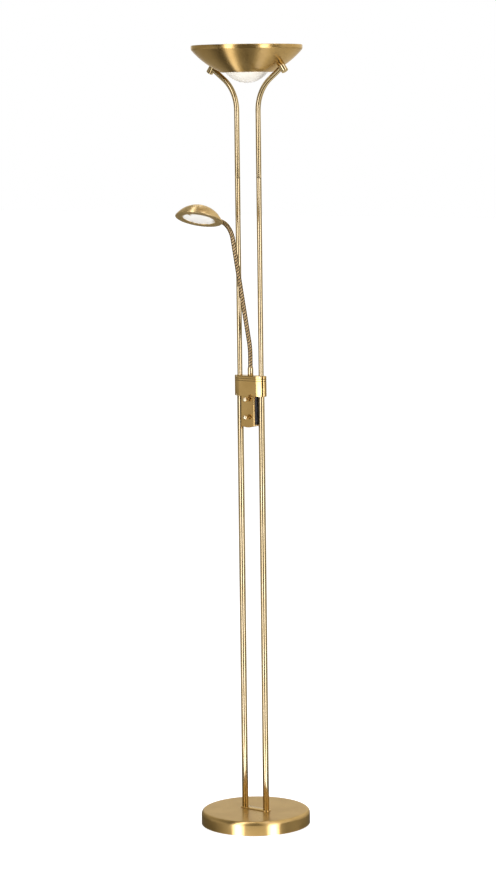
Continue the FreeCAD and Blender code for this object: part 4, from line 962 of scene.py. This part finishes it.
class TORCHIERE_OT_bowl(LampStep, bpy.types.Operator):
    """Spin the bowl with its rolled rim and set the glass dish into its foot"""
    bl_idname = "torchiere.bowl"
    bl_label = "Bowl and dish"

    def execute(self, context):
        sizes, finish = context.scene.torchiere_sizes, finishes()
        rim = sizes.bowl_radius / MM
        centre, turn_centre = side_centre(rim), (rim - BOWL_TURN, RIM_TOP - RIM_HEIGHT)
        lean = math.degrees(math.atan2(turn_centre[1] - centre[1], turn_centre[0] - centre[0]))

        def face(inset, bottom):
            """The side's arc, the turn and the upright rim, from the bottom up."""
            side = BOWL_ARC - inset
            start = math.degrees(math.asin((bottom - centre[1]) / side))
            return (arc(centre, side, start, lean, 40)
                    + arc(turn_centre, BOWL_TURN - inset, lean, 0, 8)[1:])

        low = FLANGE_BOTTOM + BOWL_WALL
        bead = arc((rim - RIM_BEAD, RIM_TOP - RIM_BEAD), RIM_BEAD, 0, 300, 20)
        outside, inside = face(0, FLANGE_BOTTOM), face(BOWL_WALL, low)
        foot = rounded([(BOWL_OPENING, low), (BOWL_OPENING, FLANGE_BOTTOM),
                        outside[0] + (BOWL_FOOT_EDGE,), outside[1]], SHEET_EDGE, 3)
        profile = foot + outside[2:] + bead + inside[::-1] + [(BOWL_OPENING, low)]
        mesh = turned(profile, finish["spun"], BOWL_STEPS, rim / 2)
        piece("bowl_spun", mesh, "stand", ("bowl",), sharp=50.0)

        ball = (DISH_RADIUS ** 2 + DISH_DROP ** 2) / (2 * DISH_DROP)
        centre = (0, FLANGE_BOTTOM - DISH_DROP + ball)
        wide = math.degrees(math.asin((centre[1] - FLANGE_BOTTOM) / ball))
        top = low + DISH_FLANGE
        within = ball - DISH_WALL
        within_wide = math.degrees(math.asin((centre[1] - top) / within))
        flange = rounded([
            (DISH_RADIUS, FLANGE_BOTTOM + DISH_START), (DISH_RADIUS, low),
            (DISH_FLANGE_RADIUS, low), (DISH_FLANGE_RADIUS, top),
            (within * math.cos(math.radians(within_wide)), top)], GLASS_EDGE, 3)
        dish = (arc(centre, ball, -90, -wide, 28) + flange
                + arc(centre, within, -within_wide, -90, 28)[1:])
        mesh = turned(dish, finish["cream"], HEAD_STEPS, DISH_MAP_RADIUS)
        piece("bowl_dish_opal", mesh, "stand", ("bowl_glass",))
        return {"FINISHED"}


class TORCHIERE_OT_bowl_fittings(LampStep, bpy.types.Operator):
    """Fit the bracket, holders, lamp, seats and nuts inside the bowl"""
    bl_idname = "torchiere.bowl_fittings"
    bl_label = "Fittings in the bowl"

    def execute(self, context):
        for node in ("lamp_bracket", "lamp_holders", "halogen_lamp", "bowl_seats", "bowl_nuts",
                     "barrel_studs"):
            polished(node, "fitted", "stand", NODE_FINISHES[SLOTS[node]])
        return {"FINISHED"}


# ---- the stage ----
CAMERA_DISTANCE, CAMERA_HEIGHT, CAMERA_AZIMUTH = 6.3, 1.65, 38.0
CAMERA_PITCH, CAMERA_YAW, CAMERA_ROLL = 6.76, 0.069, 0.70
CAMERA_LENS, CAMERA_SENSOR, CAMERA_REACH = 113.17, 36.0, 100.0
FLOOR_SIZE, PAPER_GRAIN_MM = 60.0, 2.5
PLAIN_LIGHT, FLOOR_GLOW = 0.55, 0.6
SOFT_BOX_DISTANCE, SOFT_BOX_AIM = 3.2, 0.95
# azimuth from the camera, elevation, width, height and power of the lights
SOFT_BOXES = ((-39, 5, 1.2, 2.3, 62.0), (37, 5, 1.2, 2.3, 60.0), (180, 60, 3.0, 1.6, 40.0))
WALL_RADIUS, WALL_BOTTOM, WALL_HEIGHT, WALL_STEPS = 4.5, 0.002, 5.0, 72
# Greys of the studio by the side they light: the angle at which an upright surface must face,
# to the left or right of the camera, to mirror that part of it, with a brightness. One row each
# for the bowl from outside, the bowl's underside, the stems, and the base.
STUDIO_GREYS = ((-90, 0.6), (-60, 0.5), (-42, 0.4), (-35, 0.25), (-29, 0.1), (-24, 0.1),
                (-22, 5.5), (-16.5, 5.5), (-12.5, 0.5), (-8, 0.2), (10, 0.2), (12.5, 0.4),
                (15.5, 4.5), (21.5, 4.5), (25, 0.45), (31, 0.4), (40, 1.0), (60, 1.15),
                (90, 1.0))
UNDER_GREYS = ((-90, 0.6), (-60, 0.5), (-42, 0.4), (-35, 0.25), (-28, 0.1), (-22, 0.1),
               (-20, 2.4), (-14.5, 2.4), (-12, 0.7), (-8, 0.18), (8, 0.18), (11.5, 0.35),
               (14.5, 2.0), (20, 2.0), (24, 0.55), (31, 0.5), (40, 0.8), (60, 0.95),
               (90, 0.9))
MIDDLE_GREYS = ((-90, 0.3), (-62, 0.35), (-50, 0.7), (-42, 0.8), (-33, 0.8), (-29, 0.2),
                (-23.5, 0.15), (-21.5, 7.0), (-16.5, 7.0), (-14, 0.3), (-7, 0.2), (9, 0.2),
                (13, 0.3), (15, 7.0), (20.5, 7.0), (23.5, 0.2), (29, 0.25), (38, 0.5),
                (60, 0.7), (90, 0.5))
NEAR_GREYS = ((-90, 0.15), (-50, 0.2), (-38, 0.5), (-27, 1.0), (-21.5, 8.0), (-16.5, 8.0),
              (-11.5, 1.4), (11, 1.4), (16, 8.0), (21, 8.0), (26.5, 0.7), (35, 0.4), (50, 0.45),
              (60, 0.3), (90, 0.15))
STUDIO_BRIGHTEST, STUDIO_BACK, STUDIO_BACK_EDGE = 9.0, 1.0, (0.05, 0.12)
NEAR_FLOOR, MIDDLE_TOP = (0.25, 0.45), (1.45, 1.65)
CARD_HEIGHT, CARD_RADIUS = 1.5, 0.8
BOWL_LEVEL = 1.8
WHITE = (1, 1, 1, 1)
DAYLIGHT = (0.9, 1.0, 1.5, 1)    # the bright strips are a cooler light than the greys


class TORCHIERE_OT_stage(LampStep, bpy.types.Operator):
    """Set up the floor, the lights, the studio that only reflections see, and the camera"""
    bl_idname = "torchiere.stage"
    bl_label = "Stage"

    def execute(self, context):
        scene = context.scene
        scene.view_settings.view_transform = "Standard"
        self.world(scene)
        self.floor()
        self.camera(scene)
        for box in SOFT_BOXES:
            self.soft_box(*box)
        self.walls(scene.torchiere_sizes.base_radius)
        return {"FINISHED"}

    def looked_at(self, tree):
        """1 where the camera, a reflection or a glass looks, and 0 for plain light."""
        path = add(tree, "ShaderNodeLightPath", output=None).outputs
        either = add(tree, MATH, (path["Is Glossy Ray"], path["Is Transmission Ray"]),
                     operation="MAXIMUM")
        return add(tree, MATH, (path["Is Camera Ray"], either), operation="MAXIMUM")

    def world(self, scene):
        """White where the camera, a reflection or a glass looks at it; plain light besides."""
        scene.world = bpy.data.worlds.new("studio")
        scene.world.use_nodes = True
        tree = scene.world.node_tree
        tree.nodes.clear()
        plain, white = (add(tree, "ShaderNodeBackground", (WHITE, strength))
                        for strength in (PLAIN_LIGHT, 1.0))
        shown = add(tree, "ShaderNodeMixShader", (self.looked_at(tree), plain, white))
        add(tree, "ShaderNodeOutputWorld", [shown], None)

    def floor(self):
        """A pale floor that shows as white and keeps the lamp's shadow."""
        half = FLOOR_SIZE / 2
        mesh = bpy.data.meshes.new("floor")
        mesh.from_pydata([(-half, -half, 0), (half, -half, 0), (half, half, 0), (-half, half, 0)],
                         [], [(0, 1, 2, 3)])
        ground = bpy.data.objects.new("floor", mesh)
        bpy.context.scene.collection.objects.link(ground)
        material, tree, shader = new_material("paper_sweep_white")
        paper = add(tree, "ShaderNodeTexNoise", {
            "Vector": add(tree, "ShaderNodeTexCoord", output="Object"),
            "Scale": 1 / (PAPER_GRAIN_MM * MM)})
        tone = add(tree, MIX, {
            FACTOR: paper, FIRST: linear("#EDEDED"), SECOND: linear("#F2F2F2")}, **COLOURS)
        feed(tree, shader, {"Base Color": tone, "Roughness": 0.9})
        glow = add(tree, "ShaderNodeEmission", (WHITE, FLOOR_GLOW))
        both = add(tree, "ShaderNodeAddShader", (shader.outputs[0], glow))
        shown = add(tree, "ShaderNodeMixShader", (self.looked_at(tree), shader.outputs[0], both))
        feed(tree, tree.nodes["Material Output"], {"Surface": shown})
        mesh.materials.append(material)

    def soft_box(self, azimuth, elevation, wide, tall, power):
        """A large soft light, square to the lamp's middle."""
        light = bpy.data.lights.new("soft_box", "AREA")
        light.shape, light.size, light.size_y, light.energy = "RECTANGLE", wide, tall, power
        made = bpy.data.objects.new("soft_box", light)
        bpy.context.scene.collection.objects.link(made)
        a, e = math.radians(CAMERA_AZIMUTH + azimuth), math.radians(elevation)
        away = Vector((math.sin(a) * math.cos(e), -math.cos(a) * math.cos(e), math.sin(e)))
        made.location = Vector((0, 0, SOFT_BOX_AIM)) + away * SOFT_BOX_DISTANCE
        made.rotation_mode = "QUATERNION"
        made.rotation_quaternion = away.to_track_quat("Z", "Y")
        made.visible_camera = False
        made.visible_glossy = False

    def walls(self, base_radius):
        """A round studio of grey cloth with a bright strip on either side of the camera, and a
        card under the bowl that carries the strips on beneath it."""
        steps = WALL_STEPS

        def circle(radius, height):
            return [(radius * math.sin(math.tau * i / steps),
                     -radius * math.cos(math.tau * i / steps), height) for i in range(steps)]

        vertices = circle(WALL_RADIUS, WALL_BOTTOM) + circle(WALL_RADIUS, WALL_HEIGHT)
        faces = [(i, (i + 1) % steps, steps + (i + 1) % steps, steps + i) for i in range(steps)]
        ends = [tuple(range(steps)), tuple(range(steps, 2 * steps))]
        room = self.only_reflected("studio_walls", vertices, faces + ends)
        self.glowing("studio_wall_paint", room, lambda tree: self.room_greys(tree, base_radius))
        card = self.only_reflected("studio_card", circle(CARD_RADIUS, CARD_HEIGHT),
                                   [tuple(range(steps))])
        self.glowing("studio_card_paint", card, self.card_greys, one_sided=True)

    def only_reflected(self, name, vertices, faces):
        """A stage surface that only reflections see."""
        mesh = bpy.data.meshes.new(name)
        mesh.from_pydata(vertices, [], faces)
        made = bpy.data.objects.new(name, mesh)
        bpy.context.scene.collection.objects.link(made)
        for ray in ("camera", "diffuse", "shadow", "transmission"):
            setattr(made, "visible_" + ray, False)
        return mesh

    def glowing(self, name, mesh, greys, one_sided=False):
        """Paints a stage surface with greys that it gives off; a card can show from above
        only."""
        material, tree, _ = new_material(name)
        grey = greys(tree)
        tint = add(tree, MIX, {FACTOR: grey, FIRST: WHITE, SECOND: DAYLIGHT}, **COLOURS)
        strength = add(tree, MATH, (grey, STUDIO_BRIGHTEST), operation="MULTIPLY")
        shown = add(tree, "ShaderNodeEmission", (tint, strength))
        if one_sided:
            under = add(tree, "ShaderNodeNewGeometry", output="Backfacing")
            nothing = add(tree, "ShaderNodeBsdfTransparent")
            shown = add(tree, "ShaderNodeMixShader", (under, shown, nothing))
        feed(tree, tree.nodes["Material Output"], {"Surface": shown})
        mesh.materials.append(material)

    def directions(self, tree):
        """Where a stage point lies as the camera sees the lamp: across, towards and up, its
        distance out from the lamp's axis, how far round to the front it is, and the way an
        upright surface of the bowl faces to mirror it."""
        body = add(tree, "ShaderNodeTexCoord", output="Object")
        turn = add(tree, "ShaderNodeVectorRotate", {
            "Vector": body, "Angle": -math.radians(CAMERA_AZIMUTH)}, rotation_type="Z_AXIS")
        across, away, up = add(tree, "ShaderNodeSeparateXYZ", [turn], None).outputs
        level = add(tree, "ShaderNodeCombineXYZ", (across, away))
        out = add(tree, "ShaderNodeVectorMath", [level], "Value", operation="LENGTH")
        from_bowl = add(tree, "ShaderNodeVectorMath", (turn, (0, 0, BOWL_LEVEL)),
                        operation="SUBTRACT")
        way = add(tree, "ShaderNodeVectorMath", [from_bowl], operation="NORMALIZE")
        share_across, share_away, _ = add(tree, "ShaderNodeSeparateXYZ", [way], None).outputs
        front = add(tree, MATH, (1.0, share_away), operation="SUBTRACT")
        facing = add(tree, MATH, (share_across, front), operation="ARCTAN2")
        return across, away, up, out, front, facing

    def card_greys(self, tree):
        return self.row_of_greys(tree, self.directions(tree)[-1], UNDER_GREYS)

    def room_greys(self, tree, base_radius):
        """One row of greys for the bowl, one for the stems and one close to the base."""
        across, away, up, out, front, bowl_facing = self.directions(tree)
        towards = add(tree, MATH, (away, -1.0), operation="MULTIPLY")
        around = add(tree, MATH, (across, towards), operation="ARCTAN2")
        middle_facing = add(tree, MATH, (around, 0.5), operation="MULTIPLY")
        nearness = add(tree, MATH, (base_radius, out), operation="DIVIDE")
        share = add(tree, MATH, (2.0, nearness), operation="SUBTRACT")
        near_facing = add(tree, MATH, (around, share), operation="DIVIDE")
        near, middle, bowl = (self.row_of_greys(tree, facing, row) for facing, row in (
            (near_facing, NEAR_GREYS), (middle_facing, MIDDLE_GREYS),
            (bowl_facing, STUDIO_GREYS)))
        low = add(tree, "ShaderNodeMapRange", {
            "Value": up, "From Min": MIDDLE_TOP[1], "From Max": MIDDLE_TOP[0]})
        far = add(tree, "ShaderNodeMapRange", {
            "Value": out, "From Min": NEAR_FLOOR[0], "From Max": NEAR_FLOOR[1]},
            interpolation_type="SMOOTHSTEP")
        behind = add(tree, "ShaderNodeMapRange", {
            "Value": front, "From Min": STUDIO_BACK_EDGE[0], "From Max": STUDIO_BACK_EDGE[1]})
        back = STUDIO_BACK / STUDIO_BRIGHTEST
        upright = add(tree, MIX, {FACTOR: low, FIRST: bowl, SECOND: middle}, **COLOURS)
        grey = add(tree, MIX, {FACTOR: far, FIRST: near, SECOND: upright}, **COLOURS)
        return add(tree, MIX, {FACTOR: behind, FIRST: (back, back, back, 1), SECOND: grey},
                   **COLOURS)

    def row_of_greys(self, tree, facing, row):
        share = add(tree, MATH, (facing, 1 / math.pi, 0.5), operation="MULTIPLY_ADD")
        ramp = add(tree, "ShaderNodeValToRGB", [share], None)
        marks = ramp.color_ramp.elements
        for mark, (at, grey) in enumerate(row):
            place = 0.5 + at / 180
            spot = marks[0] if mark == 0 else (
                marks[-1] if mark == len(row) - 1 else marks.new(place))
            tone = grey / STUDIO_BRIGHTEST
            spot.position, spot.color = place, (tone, tone, tone, 1)
        return ramp.outputs[0]

    def camera(self, scene):
        """A long lens at head height, turned a little past the lamp and leaning with it."""
        data = bpy.data.cameras.new("camera")
        data.lens, data.sensor_width, data.clip_end = CAMERA_LENS, CAMERA_SENSOR, CAMERA_REACH
        made = bpy.data.objects.new("camera", data)
        scene.collection.objects.link(made)
        a = math.radians(CAMERA_AZIMUTH)
        made.location = (CAMERA_DISTANCE * math.sin(a), -CAMERA_DISTANCE * math.cos(a),
                         CAMERA_HEIGHT)
        heading = a + math.radians(CAMERA_YAW)
        pitch = math.radians(CAMERA_PITCH)
        ahead = Vector((-math.sin(heading) * math.cos(pitch), math.cos(heading) * math.cos(pitch),
                        -math.sin(pitch)))
        made.rotation_mode = "QUATERNION"
        made.rotation_quaternion = (ahead.to_track_quat("-Z", "Y")
                                    @ Matrix.Rotation(-math.radians(CAMERA_ROLL), 3,
                                                      "Z").to_quaternion())
        scene.camera = made


class TORCHIERE_PT_panel(bpy.types.Panel):
    """Lists the lamp's sizes, finishes and steps"""
    bl_label = "Torchiere floor lamp"
    bl_idname = "TORCHIERE_PT_panel"
    bl_space_type = "VIEW_3D"
    bl_region_type = "UI"
    bl_category = "Torchiere"

    def draw(self, context):
        for group in (context.scene.torchiere_sizes, context.scene.torchiere_finishes):
            for name in group.__annotations__:
                self.layout.prop(group, name)
        for step in STEPS:
            self.layout.operator(step.bl_idname)


STEPS = (TORCHIERE_OT_stage, TORCHIERE_OT_inner_parts, TORCHIERE_OT_base, TORCHIERE_OT_stems,
         TORCHIERE_OT_arms, TORCHIERE_OT_collar, TORCHIERE_OT_dimmer, TORCHIERE_OT_gooseneck,
         TORCHIERE_OT_reading_head, TORCHIERE_OT_bowl, TORCHIERE_OT_bowl_fittings)
CLASSES = (LampSizes, LampFinishes) + STEPS + (TORCHIERE_PT_panel,)


def register():
    for one in CLASSES:
        bpy.utils.register_class(one)
    bpy.types.Scene.torchiere_sizes = bpy.props.PointerProperty(type=LampSizes)
    bpy.types.Scene.torchiere_finishes = bpy.props.PointerProperty(type=LampFinishes)


def unregister():
    del bpy.types.Scene.torchiere_finishes
    del bpy.types.Scene.torchiere_sizes
    for one in reversed(CLASSES):
        bpy.utils.unregister_class(one)


def main():
    register()
    for step in STEPS:
        family, label = step.bl_idname.split(".")
        getattr(getattr(bpy.ops, family), label)()


if __name__ == "__main__":
    main()
